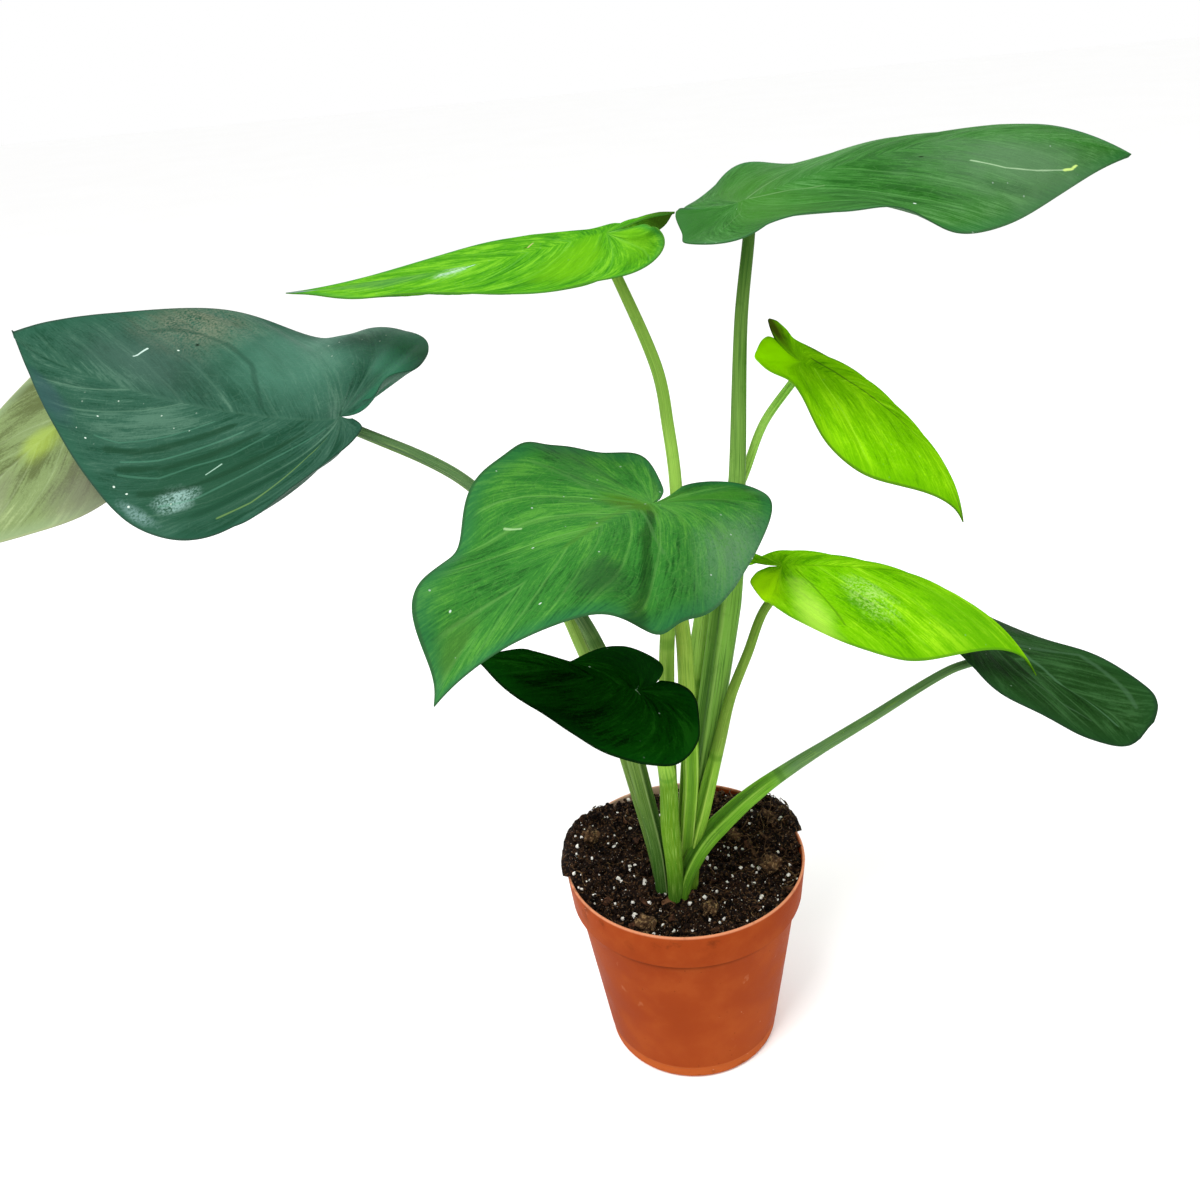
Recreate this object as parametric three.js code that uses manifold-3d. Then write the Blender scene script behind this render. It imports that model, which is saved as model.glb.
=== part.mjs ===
import * as THREE from 'three';
import { mergeVertices } from 'three/addons/utils/BufferGeometryUtils.js';
import Module from 'manifold-3d';

const wasm = await Module();
wasm.setup();

// A potted arrowhead plant in millimetres, +Z up. The origin is the centre of the pot's underside.

const gap = 0.35; // clearance between pieces that touch on the real plant
const weldDistance = 1e-4;

// Pot: a thin moulded wall with a band at the rim, a low foot and a raised ring with drain holes in its floor

const pot = {
  height: 110,
  rimRadius: 60,
  bandHeight: 20,
  bandFootRadius: 58.4,
  shoulderRadius: 55.8,
  shoulderDrop: 1.5,
  footRadius: 44,
  footHeight: 7,
  footStep: 0.9,
  chamfer: 1.5,
  wall: 1.3,
  floor: 1.6,
  segments: 44,
};

const drain = {
  count: 8,
  radius: 4.5,
  circle: 30,
  ringInner: 23,
  ringOuter: 37,
  rise: 2.5,
  slope: 1.5,
  sides: 12,
};

// Soil: level at the front, mounded towards the back, with small lumps all over

const soil = {
  level: 103.5,
  reach: 63,
  rings: 9,
  segments: 36,
  lump: 0.9,
  lumpSize: 7,
  lumpStretch: 1.2,
  lumpShifts: [1.3, 0.4, 0.7],
  edgeDrop: 2,
  mounds: [
    { x: 48, y: 22, rise: 15, spread: 22 },
    { x: 4, y: 44, rise: 6, spread: 26 },
    { x: -40, y: 34, rise: 9, spread: 20 },
    { x: -58, y: -2, rise: 11, spread: 16 },
    { x: -4, y: -14, rise: 2, spread: 14 },
  ],
};

// Crown: the short corky stem under the stalks, with an old stub that shows at the front

const crown = {
  x: -5,
  y: -16,
  radius: 12,
  bottom: 64,
  top: 87,
  footShare: 0.6,
  waistShare: 0.94,
  topShare: 0.86,
  waistRise: 2,
  segments: 14,
};

const stub = {
  radius: 4.2,
  flare: 1.2,
  foot: [-8, -24, 76],
  top: [-11, -29, 106],
  steps: 3,
  sides: 8,
};

// Half of a leaf's outline, from the notch round the lobe to the tip. The first number is a share of the
// lobe's length below 0 and of the blade's length above it, the second a share of the half width, and the
// third what a full tip adds to the second.

const halfOutline = [
  [-0.34, 0.03, 0],
  [-0.8, 0.15, 0],
  [-1, 0.42, 0],
  [-0.8, 0.74, 0],
  [-0.22, 0.97, 0],
  [0.16, 1, 0],
  [0.4, 0.86, 0.06],
  [0.62, 0.57, 0.13],
  [0.8, 0.28, 0.16],
  [0.92, 0.1, 0.1],
  [1, 0, 0],
];

const blade = {
  thickness: 0.8,
  rows: 22,
  columns: 4,
  midribStart: 0.42, // share of the outline that leaves the notch before the midrib begins
  midribPower: 1.45,
  bendPower: 1.5,
  stalkReach: 6, // how far ahead of the notch the stalk meets the blade
  stalkDrop: 6.25, // how far below the blade it turns towards it
  stalkOvershoot: 2.5,
};

const stalk = {
  sides: 10,
  steps: 16,
};

// Each leaf: its notch as a point, heading, pitch and roll in degrees, the sizes of its blade, and the
// path and radii of its stalk. Pairs are the left and the right half. A ripple is [side, place along the
// outline, rise of the margin, spread].

const leaves = [
  {
    name: 'top',
    notch: [37, 10, 420],
    heading: 1,
    pitch: -16,
    roll: 17,
    length: 162,
    halfWidth: 64,
    lobe: 30,
    droop: 39,
    lobeDroop: -30,
    fold: [-16, 6],
    curl: [-11, 19],
    widths: [1, 0.97],
    lobes: [0.61, 0.93],
    tipFullness: 0.3,
    twist: 26,
    ripples: [
      [1, 0.46, 12, 0.06],
      [1, 0.61, -12, 0.16],
      [1, 0.72, -5, 0.06],
      [-1, 0.47, 10, 0.08],
      [-1, 0.55, 8, 0.04],
      [-1, 0.69, -18, 0.2],
      [1, 0.27, -6, 0.05],
      [-1, 0.26, -2, 0.07],
    ],
    path: [
      [-2, -9, 84], [2, -11, 125], [9, -10, 162], [17, -8, 205], [26, -2, 272], [32, 4, 307],
      [38, 11, 374],
    ],
    radii: [4.2, 5.2, 6, 5.8, 3.3, 2.8, 2.4],
    colour: 0x3c823c,
  },
  {
    name: 'upper_left',
    notch: [-15, 24, 411],
    heading: 168,
    pitch: 11,
    roll: -20,
    length: 143,
    halfWidth: 64,
    lobe: 34,
    droop: -11,
    lobeDroop: -18,
    fold: [-8, -15],
    curl: [36, 3],
    widths: [1, 1.01],
    lobes: [1.04, 0.61],
    tipFullness: -0.3,
    twist: 5,
    ripples: [
      [1, 0.23, 8, 0.07],
      [1, 0.63, 12, 0.15],
      [-1, 0.42, -23, 0.13],
      [1, 0.41, 3, 0.05],
      [-1, 0.22, -7, 0.09],
      [1, 0.87, 1, 0.07],
    ],
    path: [
      [-8, -10, 84], [-6, -10, 150], [-5, -8, 200], [-1, -1, 245], [5, 6, 279], [7, 11, 307],
      [6, 16, 330], [2, 19, 354],
    ],
    radii: [3, 3.1, 3, 2.8, 2.6, 2.4, 2],
    colour: 0x5fbe1e,
  },
  {
    name: 'upper_right',
    notch: [64, 22, 351],
    heading: -13,
    pitch: 26,
    roll: 4,
    length: 104,
    halfWidth: 43,
    lobe: 20,
    droop: 52,
    lobeDroop: -29,
    fold: [8, 0],
    curl: [-39, 0],
    widths: [0.98, 1.03],
    lobes: [1.01, 1.03],
    tipFullness: 0.35,
    twist: 2,
    ripples: [
      [1, 0.34, 3, 0.06],
      [-1, 0.41, 9, 0.07],
      [-1, 0.61, -15, 0.17],
      [-1, 0.25, -1, 0.04],
      [1, 0.69, -4, 0.1],
    ],
    path: [
      [-2, -4, 84], [1, -3, 129], [6, -1, 175], [12, 3, 225], [22, 8, 277], [36, 13, 307],
      [47, 18, 328],
    ],
    radii: [3, 3.1, 3.2, 3, 2.4, 2.1, 2],
    colour: 0x78c800,
  },
  {
    name: 'front',
    notch: [-7, -34, 315],
    heading: 226,
    pitch: -5,
    roll: 2,
    length: 126,
    halfWidth: 52,
    lobe: 44,
    droop: 48,
    lobeDroop: 28,
    fold: [-12, 1],
    curl: [-35, 29],
    widths: [0.87, 1.08],
    lobes: [1.14, 0.48],
    tipFullness: -0.05,
    twist: 12,
    ripples: [
      [1, 0.22, 15, 0.21],
      [1, 0.5, -14, 0.1],
      [1, 0.6, -10, 0.04],
      [-1, 0.21, 10, 0.09],
      [-1, 0.58, 8, 0.09],
      [-1, 0.8, 20, 0.09],
      [1, 0.36, -7, 0.07],
      [-1, 0.66, -4, 0.04],
      [-1, 0.48, 4, 0.04],
    ],
    path: [
      [-5, -17, 84], [0, -18, 130], [4, -19, 172], [4, -21, 218], [3, -24, 255], [-2, -28, 286],
    ],
    radii: [3.4, 3.6, 3.4, 3.2, 2.6, 2.2],
    colour: 0x328228,
  },
  {
    name: 'right',
    notch: [50, -6, 269],
    heading: -6,
    pitch: 1,
    roll: 2,
    length: 130,
    halfWidth: 47,
    lobe: 27,
    droop: 69,
    lobeDroop: -12,
    fold: [-6, -8],
    curl: [-23, -12],
    widths: [1.03, 1],
    lobes: [0.83, 0.93],
    tipFullness: -0.15,
    twist: -18,
    ripples: [
      [1, 0.36, -9, 0.06],
      [-1, 0.32, 20, 0.17],
      [-1, 0.64, -17, 0.15],
      [1, 0.57, -2, 0.09],
      [-1, 0.48, -1, 0.06],
    ],
    path: [
      [0, -17, 84], [3, -18, 125], [10, -19, 156], [18, -18, 188], [24, -16, 210],
      [33, -12, 230], [41, -9, 249],
    ],
    radii: [3.6, 4, 4, 3.3, 2.6, 2.3, 2.1],
    colour: 0x82d200,
  },
  {
    name: 'far_right',
    notch: [148, 7, 213],
    heading: -30,
    pitch: 25,
    roll: -14,
    length: 80,
    halfWidth: 38,
    lobe: 20,
    droop: -1,
    lobeDroop: 8,
    fold: [12, 2],
    curl: [-19, -4],
    widths: [1.01, 1],
    lobes: [0.99, 0.97],
    tipFullness: 0.8,
    twist: 10,
    ripples: [
      [1, 0.85, 12, 0.19],
      [-1, 0.5, -4, 0.09],
      [-1, 0.82, -9, 0.2],
      [1, 0.68, 3, 0.1],
    ],
    path: [
      [-6, -25, 84], [-2, -24, 113], [8, -21, 132], [23, -17, 146], [38, -13, 156],
      [55, -9, 166], [92, -2, 184], [130, 3, 202],
    ],
    radii: [3.4, 4.4, 5.2, 4, 2.9, 2.6, 2.3, 2.1],
    colour: 0x285a32,
  },
  {
    name: 'low',
    notch: [-19, -54, 241],
    heading: 184,
    pitch: -27,
    roll: -13,
    length: 71,
    halfWidth: 38,
    lobe: 28,
    droop: 16,
    lobeDroop: 18,
    fold: [-4, -7],
    curl: [-4, -9],
    widths: [1.06, 1],
    lobes: [0.94, 1.19],
    tipFullness: -0.3,
    twist: 12,
    ripples: [
      [1, 0.12, 8, 0.09],
      [1, 0.78, -6, 0.12],
      [-1, 0.32, -6, 0.03],
      [-1, 0.59, -15, 0.09],
      [-1, 0.24, -2, 0.06],
      [1, 0.48, 2, 0.1],
    ],
    path: [
      [-8, -25, 84], [-7, -27, 120], [-8, -29, 150], [-8, -34, 184], [-12, -41, 207],
    ],
    radii: [3.4, 4.2, 4.6, 4.2, 3, 2.2],
    colour: 0x0a280a,
  },
  {
    name: 'left',
    notch: [-135, 21, 346],
    heading: 156,
    pitch: -7,
    roll: -24,
    length: 172,
    halfWidth: 71,
    lobe: 32,
    droop: -14,
    lobeDroop: -5,
    fold: [-6, 25],
    curl: [9, -60],
    widths: [1.11, 0.87],
    lobes: [0.77, 0.84],
    tipFullness: 0.8,
    twist: -28,
    ripples: [
      [1, 0.31, 23, 0.21],
      [-1, 0.12, 17, 0.08],
      [-1, 0.56, -20, 0.07],
      [-1, 0.72, -16, 0.18],
      [-1, 0.32, -3, 0.09],
      [1, 0.51, -4, 0.11],
    ],
    path: [
      [-12, -19, 84], [-14, -18, 128], [-19, -15, 163], [-26, -10, 205], [-34, -5, 236],
      [-43, -1, 256], [-63, 6, 288], [-83, 12, 315], [-105, 17, 329],
    ],
    radii: [3.8, 4.4, 4.4, 4, 3.4, 2.7, 2.4, 2.2],
    colour: 0x2d5f4b,
  },
  {
    name: 'pale',
    notch: [-256, 84, 352],
    heading: 212,
    pitch: 27,
    roll: -24,
    length: 118,
    halfWidth: 52,
    lobe: 30,
    droop: 12,
    lobeDroop: 6,
    fold: [-4, -4],
    curl: [-8, -6],
    widths: [1, 0.85],
    lobes: [0.9, 0.7],
    tipFullness: 0.6,
    twist: 0,
    ripples: [
      [1, 0.4, 2, 0.1],
      [1, 0.62, -2, 0.1],
      [-1, 0.4, 3, 0.1],
    ],
    path: [
      [-12, -11, 84], [-15, -9, 115], [-22, -8, 158], [-31, -4, 202], [-41, 1, 233],
      [-49, 7, 256], [-64, 14, 286], [-84, 21, 310], [-107, 27, 325], [-150, 42, 331],
      [-195, 61, 331], [-230, 74, 337],
    ],
    radii: [3, 3.4, 3.4, 3.2, 3, 2.6, 2.2, 2],
    colour: 0x9bad5c,
  },
];

const materials = {
  pot: new THREE.MeshStandardMaterial({ color: 0xb95028, roughness: 0.45, metalness: 0 }),
  soil: new THREE.MeshStandardMaterial({ color: 0x2a1e16, roughness: 0.95, metalness: 0 }),
  crown: new THREE.MeshStandardMaterial({ color: 0x6b4a34, roughness: 0.9, metalness: 0 }),
  stalk: new THREE.MeshStandardMaterial({ color: 0x7da63c, roughness: 0.5, metalness: 0 }),
};

function leafMaterial(colour) {
  return new THREE.MeshStandardMaterial({ color: colour, roughness: 0.5, metalness: 0 });
}

// A solid from a closed geometry, and a mesh from a solid

function solidFrom(geometry) {
  const bare = new THREE.BufferGeometry();
  bare.setAttribute('position', geometry.getAttribute('position').clone());
  if (geometry.index) bare.setIndex(geometry.index.clone());
  const merged = mergeVertices(bare, weldDistance);
  const index = Array.from(merged.index.array);
  const corners = [];
  for (let k = 0; k < index.length; k += 3) {
    const [a, b, c] = index.slice(k, k + 3);
    if (a !== b && b !== c && c !== a) corners.push(a, b, c);
  }
  const solid = new wasm.Manifold(new wasm.Mesh({
    numProp: 3,
    vertProperties: new Float32Array(merged.getAttribute('position').array),
    triVerts: new Uint32Array(corners),
  }));
  return solid;
}

function largestBody(solid) {
  const bodies = solid.decompose();
  bodies.sort((a, b) => b.volume() - a.volume());
  return bodies[0];
}

function meshFrom(solid, name, material) {
  const { vertProperties, triVerts } = solid.getMesh();
  const geometry = new THREE.BufferGeometry();
  geometry.setAttribute('position', new THREE.BufferAttribute(new Float32Array(vertProperties), 3));
  geometry.setIndex(new THREE.BufferAttribute(new Uint32Array(triVerts), 1));
  geometry.computeVertexNormals();
  const mesh = new THREE.Mesh(geometry, material);
  mesh.name = name;
  return mesh;
}

function turned(profile, segments) {
  const points = profile.map(([radius, height]) => new THREE.Vector2(radius, height));
  const geometry = new THREE.LatheGeometry(points, segments);
  geometry.rotateX(Math.PI / 2);
  return solidFrom(geometry);
}

// Pot

function innerWall(clearance) {
  const { height, rimRadius, bandHeight, bandFootRadius, shoulderRadius, footRadius } = pot;
  const { chamfer, wall, floor } = pot;
  const shrink = wall + clearance;
  const shoulder = height - bandHeight;
  return [
    [footRadius - shrink, chamfer + floor],
    [shoulderRadius - shrink, shoulder - pot.shoulderDrop + clearance / 2],
    [bandFootRadius - shrink, shoulder + wall + clearance / 2],
    [rimRadius - shrink, height],
  ];
}

function makePot() {
  const { height, rimRadius, bandHeight, bandFootRadius, shoulderRadius, footRadius } = pot;
  const { footHeight, footStep, chamfer, wall, floor, segments } = pot;
  const { ringInner, ringOuter, rise, slope } = drain;
  const shoulder = height - bandHeight;
  const [innerFoot, innerShoulder, innerBand, innerRim] = innerWall(0);
  const outside = [
    [0, 0],
    [ringInner, 0],
    [ringInner + slope, rise],
    [ringOuter - slope, rise],
    [ringOuter, 0],
    [footRadius - chamfer, 0],
    [footRadius, chamfer],
    [footRadius + footStep / 3, footHeight],
    [footRadius + footStep, footHeight + footStep],
    [shoulderRadius, shoulder],
    [bandFootRadius, shoulder],
    [rimRadius, height - wall / 2],
    [rimRadius - wall / 4, height],
  ];
  const inside = [
    [innerRim[0] + wall / 4, height],
    [innerRim[0], height - wall / 2],
    innerBand,
    innerShoulder,
    innerFoot,
    [innerFoot[0] - chamfer, floor],
    [ringOuter + wall / 2, floor],
    [ringOuter - slope + wall / 2, floor + rise],
    [ringInner + slope - wall / 2, floor + rise],
    [ringInner - wall / 2, floor],
    [0, floor],
  ];
  let solid = turned([...outside, ...inside], segments);
  const drillLength = 4 * (rise + floor);
  for (let k = 0; k < drain.count; k += 1) {
    const angle = (k / drain.count) * 2 * Math.PI;
    const hole = new THREE.CylinderGeometry(drain.radius, drain.radius, drillLength, drain.sides);
    hole.rotateX(Math.PI / 2);
    hole.translate(drain.circle * Math.cos(angle), drain.circle * Math.sin(angle), rise + floor / 2);
    solid = solid.subtract(solidFrom(hole));
  }
  return solid;
}

// Everything that the soil keeps clear of: the wall, the floor and what lies outside them, up to the rim

function makePotShadow() {
  const { rimRadius, height, floor } = pot;
  const top = height + gap;
  const floorTop = floor + drain.rise + gap;
  const [foot, shoulder, band, rim] = innerWall(gap);
  const slope = (shoulder[0] - foot[0]) / (shoulder[1] - foot[1]);
  const footAtFloor = foot[0] + slope * (floorTop - foot[1]);
  return turned([
    [0, -floor],
    [2 * rimRadius, -floor],
    [2 * rimRadius, top],
    [rim[0], top],
    band,
    shoulder,
    [footAtFloor, floorTop],
    [0, floorTop],
  ], pot.segments);
}

// Soil

function soilHeight(x, y) {
  const { level, lump, lumpSize, lumpStretch, lumpShifts, mounds } = soil;
  const [shiftX, shiftY, shiftAcross] = lumpShifts;
  let height = level;
  for (const mound of mounds) {
    const distance = Math.hypot(x - mound.x, y - mound.y) / mound.spread;
    height += mound.rise * Math.exp(-distance * distance);
  }
  height += lump * Math.sin(x / lumpSize + shiftX) * Math.cos((y / lumpSize) * lumpStretch - shiftY);
  height += (lump / 2) * Math.sin((x + 2 * y) / lumpSize + shiftAcross) * Math.cos((2 * x - y) / lumpSize);
  return height;
}

function makeSoil(stalks, crownSolid) {
  const { reach, rings, segments, edgeDrop } = soil;
  const positions = [0, 0, soilHeight(0, 0)];
  const corners = [];
  const at = (ring, k) => (ring === 0 ? 0 : 1 + (ring - 1) * segments + (k % segments));
  for (let ring = 1; ring <= rings + 1; ring += 1) {
    for (let k = 0; k < segments; k += 1) {
      const angle = (k / segments) * 2 * Math.PI;
      const radius = reach * Math.min(1, ring / rings);
      const x = radius * Math.cos(angle);
      const y = radius * Math.sin(angle);
      const drop = ring === rings ? edgeDrop : 0;
      positions.push(x, y, ring > rings ? 0 : soilHeight(x, y) - drop);
    }
  }
  const bottom = positions.length / 3;
  positions.push(0, 0, 0);
  for (let k = 0; k < segments; k += 1) {
    corners.push(0, at(1, k), at(1, k + 1));
    for (let ring = 1; ring <= rings; ring += 1) {
      corners.push(at(ring, k), at(ring + 1, k), at(ring + 1, k + 1));
      corners.push(at(ring, k), at(ring + 1, k + 1), at(ring, k + 1));
    }
    corners.push(bottom, at(rings + 1, k + 1), at(rings + 1, k));
  }
  const geometry = new THREE.BufferGeometry();
  geometry.setAttribute('position', new THREE.Float32BufferAttribute(positions, 3));
  geometry.setIndex(corners);
  let solid = solidFrom(geometry).subtract(makePotShadow());
  for (const hole of stalks) solid = solid.subtract(hole);
  return largestBody(solid.subtract(crownSolid));
}

// Crown

function makeCrown(grow) {
  const { x, y, radius, bottom, top, footShare, waistShare, topShare, waistRise, segments } = crown;
  const wide = radius + grow;
  const body = new THREE.LatheGeometry([
    [0, bottom - grow],
    [wide * footShare, bottom - grow],
    [wide, bottom + radius / 2],
    [wide * waistShare, (bottom + top) / 2 + waistRise],
    [wide, top - radius / 3],
    [wide * topShare, top + grow],
    [0, top + grow],
  ].map(([across, height]) => new THREE.Vector2(across, height)), segments);
  body.rotateX(Math.PI / 2);
  body.translate(x, y, 0);
  const stubRadii = [stub.radius * stub.flare, stub.radius];
  return solidFrom(body).add(sweep([stub.foot, stub.top], stubRadii, grow, stub.steps, stub.sides));
}

// A round stalk along a smooth path, whose radius runs through the given values

function sweep(path, radii, grow, steps, sides) {
  const nodes = path.map((point) => new THREE.Vector3(...point));
  const curve = new THREE.CatmullRomCurve3(nodes, false, 'centripetal');
  const frames = curve.computeFrenetFrames(steps, false);
  const centres = frames.tangents.map((tangent, step) => curve.getPointAt(step / steps));
  centres[0].addScaledVector(frames.tangents[0], -grow);
  centres[steps].addScaledVector(frames.tangents[steps], grow);
  const positions = [];
  const corners = [];
  for (let step = 0; step <= steps; step += 1) {
    const share = step / steps;
    const place = share * (radii.length - 1);
    const before = Math.min(Math.floor(place), radii.length - 2);
    const radius = grow + radii[before] + (radii[before + 1] - radii[before]) * (place - before);
    for (let side = 0; side < sides; side += 1) {
      const angle = (side / sides) * 2 * Math.PI;
      const point = centres[step].clone()
        .addScaledVector(frames.normals[step], radius * Math.cos(angle))
        .addScaledVector(frames.binormals[step], radius * Math.sin(angle));
      positions.push(point.x, point.y, point.z);
    }
  }
  const at = (step, side) => step * sides + (side % sides);
  const foot = positions.length / 3;
  positions.push(...centres[0].toArray(), ...centres[steps].toArray());
  for (let side = 0; side < sides; side += 1) {
    for (let step = 0; step < steps; step += 1) {
      corners.push(at(step, side), at(step, side + 1), at(step + 1, side + 1));
      corners.push(at(step, side), at(step + 1, side + 1), at(step + 1, side));
    }
    corners.push(foot, at(0, side + 1), at(0, side));
    corners.push(foot + 1, at(steps, side), at(steps, side + 1));
  }
  const geometry = new THREE.BufferGeometry();
  geometry.setAttribute('position', new THREE.Float32BufferAttribute(positions, 3));
  geometry.setIndex(corners);
  return solidFrom(geometry);
}

// A smooth curve through the outline's points: place runs from 0 at the notch to 1 at the tip

function outlinePoint(leaf, side, place) {
  const half = side > 0 ? 0 : 1;
  const spans = halfOutline.length - 1;
  const span = Math.min(Math.floor(place * spans), spans - 1);
  const part = place * spans - span;
  const point = (k) => {
    const [along, across, filling] = halfOutline[Math.min(Math.max(k, 0), spans)];
    const reach = along < 0 ? leaf.lobe * leaf.lobes[half] : leaf.length;
    return [along * reach, (across + filling * leaf.tipFullness) * leaf.halfWidth * leaf.widths[half]];
  };
  const [p0, p1, p2, p3] = [point(span - 1), point(span), point(span + 1), point(span + 2)];
  return [0, 1].map((axis) => {
    const slope1 = (p2[axis] - p0[axis]) / 2;
    const slope2 = (p3[axis] - p1[axis]) / 2;
    const cubic = 2 * p1[axis] - 2 * p2[axis] + slope1 + slope2;
    const square = -3 * p1[axis] + 3 * p2[axis] - 2 * slope1 - slope2;
    return ((cubic * part + square) * part + slope1) * part + p1[axis];
  });
}

// A point of the blade's middle surface. side is 1 on the left half and -1 on the right, place runs along
// the outline and out runs from 0 at the midrib to 1 at the margin.

function bladePoint(leaf, side, place, out) {
  const half = side > 0 ? 0 : 1;
  const degrees = THREE.MathUtils.degToRad;
  const [marginAlong, marginAcross] = outlinePoint(leaf, side, place);
  const reached = Math.max(0, (place - blade.midribStart) / (1 - blade.midribStart));
  const midrib = leaf.length * reached ** blade.midribPower;
  const along = midrib + out * (marginAlong - midrib);
  const across = out * marginAcross;
  const bend = along >= 0
    ? degrees(leaf.droop) * (along / leaf.length) ** blade.bendPower
    : degrees(-leaf.lobeDroop) * (-along / leaf.lobe);
  const meanBend = along >= 0 ? bend / (blade.bendPower + 1) : bend / 2;
  const fold = degrees(leaf.fold[half] + (leaf.curl[half] * across) / (2 * leaf.halfWidth));
  let lateral = side * across * Math.cos(fold);
  let lift = across * Math.sin(fold);
  for (const [rippleSide, centre, rise, spread] of leaf.ripples) {
    if (rippleSide === side) lift += rise * out * out * Math.exp(-(((place - centre) / spread) ** 2));
  }
  const twist = degrees(leaf.twist) * Math.min(Math.max(along / leaf.length, 0), 1);
  [lateral, lift] = [
    lateral * Math.cos(twist) - lift * Math.sin(twist),
    lateral * Math.sin(twist) + lift * Math.cos(twist),
  ];
  const local = new THREE.Vector3(
    along * Math.cos(meanBend) + lift * Math.sin(bend),
    lateral,
    -along * Math.sin(meanBend) + lift * Math.cos(bend),
  );
  return local.applyMatrix4(leafFrame(leaf));
}

function leafFrame(leaf) {
  const [heading, pitch, roll] = [leaf.heading, leaf.pitch, leaf.roll].map(THREE.MathUtils.degToRad);
  const turn = new THREE.Matrix4().makeRotationFromEuler(new THREE.Euler(roll, pitch, heading, 'ZYX'));
  return turn.setPosition(...leaf.notch);
}

// The blade as a closed solid, split into the same triangles on both faces

function makeBlade(leaf, thickness) {
  const { rows, columns, midribStart } = blade;
  const points = [];
  const known = new Map();
  const vertex = (side, row, column) => {
    const place = row / rows;
    let key = `${side} ${row} ${column}`;
    if (column === 0) key = place <= midribStart ? 'notch' : `midrib ${row}`;
    if (row === rows) key = 'tip';
    if (!known.has(key)) {
      known.set(key, points.length);
      points.push(bladePoint(leaf, side, place, column / columns));
    }
    return known.get(key);
  };
  const faces = [];
  for (const side of [1, -1]) {
    for (let row = 0; row < rows; row += 1) {
      for (let column = 0; column < columns; column += 1) {
        const a = vertex(side, row, column);
        const b = vertex(side, row + 1, column);
        const c = vertex(side, row + 1, column + 1);
        const d = vertex(side, row, column + 1);
        for (const [p, q, r] of [[a, b, c], [a, c, d]]) {
          if (p === q || q === r || r === p) continue;
          faces.push(side > 0 ? [p, q, r] : [p, r, q]);
        }
      }
    }
  }
  const normals = points.map(() => new THREE.Vector3());
  const edges = new Map();
  for (const face of faces) {
    const [a, b, c] = face.map((k) => points[k]);
    const normal = b.clone().sub(a).cross(c.clone().sub(a));
    for (const k of face) normals[k].add(normal);
    for (let k = 0; k < 3; k += 1) edges.set(`${face[k]} ${face[(k + 1) % 3]}`, [face[k], face[(k + 1) % 3]]);
  }
  const positions = [];
  for (const shift of [thickness / 2, -thickness / 2]) {
    points.forEach((point, k) => {
      const moved = point.clone().addScaledVector(normals[k].clone().normalize(), shift);
      positions.push(moved.x, moved.y, moved.z);
    });
  }
  const under = points.length;
  const corners = [];
  for (const [a, b, c] of faces) {
    corners.push(a, b, c);
    corners.push(a + under, c + under, b + under);
  }
  for (const [a, b] of edges.values()) {
    if (edges.has(`${b} ${a}`)) continue;
    corners.push(b, a, a + under);
    corners.push(b, a + under, b + under);
  }
  const geometry = new THREE.BufferGeometry();
  geometry.setAttribute('position', new THREE.Float32BufferAttribute(positions, 3));
  geometry.setIndex(corners);
  return solidFrom(geometry);
}

// A stalk runs through its path into its blade, and its blade and older neighbours cut it clear

function makeStalk(leaf, grow) {
  const frame = leafFrame(leaf);
  const seat = new THREE.Vector3(blade.stalkReach, 0, 0).applyMatrix4(frame);
  const normal = new THREE.Vector3(0, 0, 1).transformDirection(frame);
  const end = seat.clone().addScaledVector(normal, blade.stalkOvershoot);
  const below = seat.clone().addScaledVector(normal, -blade.stalkDrop);
  return sweep([...leaf.path, below.toArray(), end.toArray()], leaf.radii, grow, stalk.steps, stalk.sides);
}

const plant = new THREE.Group();
plant.add(meshFrom(makePot(), 'pot', materials.pot));

const crownHole = makeCrown(gap);
const grownStalks = leaves.map((leaf) => makeStalk(leaf, gap));
const grownBlades = leaves.map((leaf) => makeBlade(leaf, blade.thickness + 2 * gap));

plant.add(meshFrom(makeSoil(grownStalks, crownHole), 'soil', materials.soil));

let crownSolid = makeCrown(0);
for (const hole of grownStalks) crownSolid = crownSolid.subtract(hole);
plant.add(meshFrom(largestBody(crownSolid), 'crown', materials.crown));

leaves.forEach((leaf, k) => {
  let solid = makeStalk(leaf, 0);
  for (const hole of grownStalks.slice(0, k)) solid = solid.subtract(hole);
  for (const hole of grownBlades) solid = solid.subtract(hole);
  plant.add(meshFrom(largestBody(solid), `stalk_${leaf.name}`, materials.stalk));
  plant.add(meshFrom(makeBlade(leaf, blade.thickness), `leaf_${leaf.name}`, leafMaterial(leaf.colour)));
});

export default plant;
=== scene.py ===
# Looks of a potted arrowhead plant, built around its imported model. Lengths in the tables are millimetres.
import math
import random

import bpy
import numpy as np
from mathutils import Matrix, Vector, noise


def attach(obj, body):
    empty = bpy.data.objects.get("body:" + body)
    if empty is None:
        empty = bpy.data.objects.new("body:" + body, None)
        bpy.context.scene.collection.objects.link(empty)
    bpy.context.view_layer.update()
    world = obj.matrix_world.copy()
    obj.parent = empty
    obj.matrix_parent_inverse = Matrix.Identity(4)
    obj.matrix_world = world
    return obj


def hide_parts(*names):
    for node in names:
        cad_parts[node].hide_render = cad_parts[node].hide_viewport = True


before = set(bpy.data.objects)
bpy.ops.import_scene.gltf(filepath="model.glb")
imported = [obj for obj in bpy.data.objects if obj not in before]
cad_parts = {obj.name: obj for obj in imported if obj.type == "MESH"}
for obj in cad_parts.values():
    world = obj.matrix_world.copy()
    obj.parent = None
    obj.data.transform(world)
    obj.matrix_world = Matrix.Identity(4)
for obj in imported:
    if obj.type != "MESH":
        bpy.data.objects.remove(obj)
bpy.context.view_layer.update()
mm = 0.001
noise.seed_set(5)  # the bark chips come out the same each run
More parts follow.
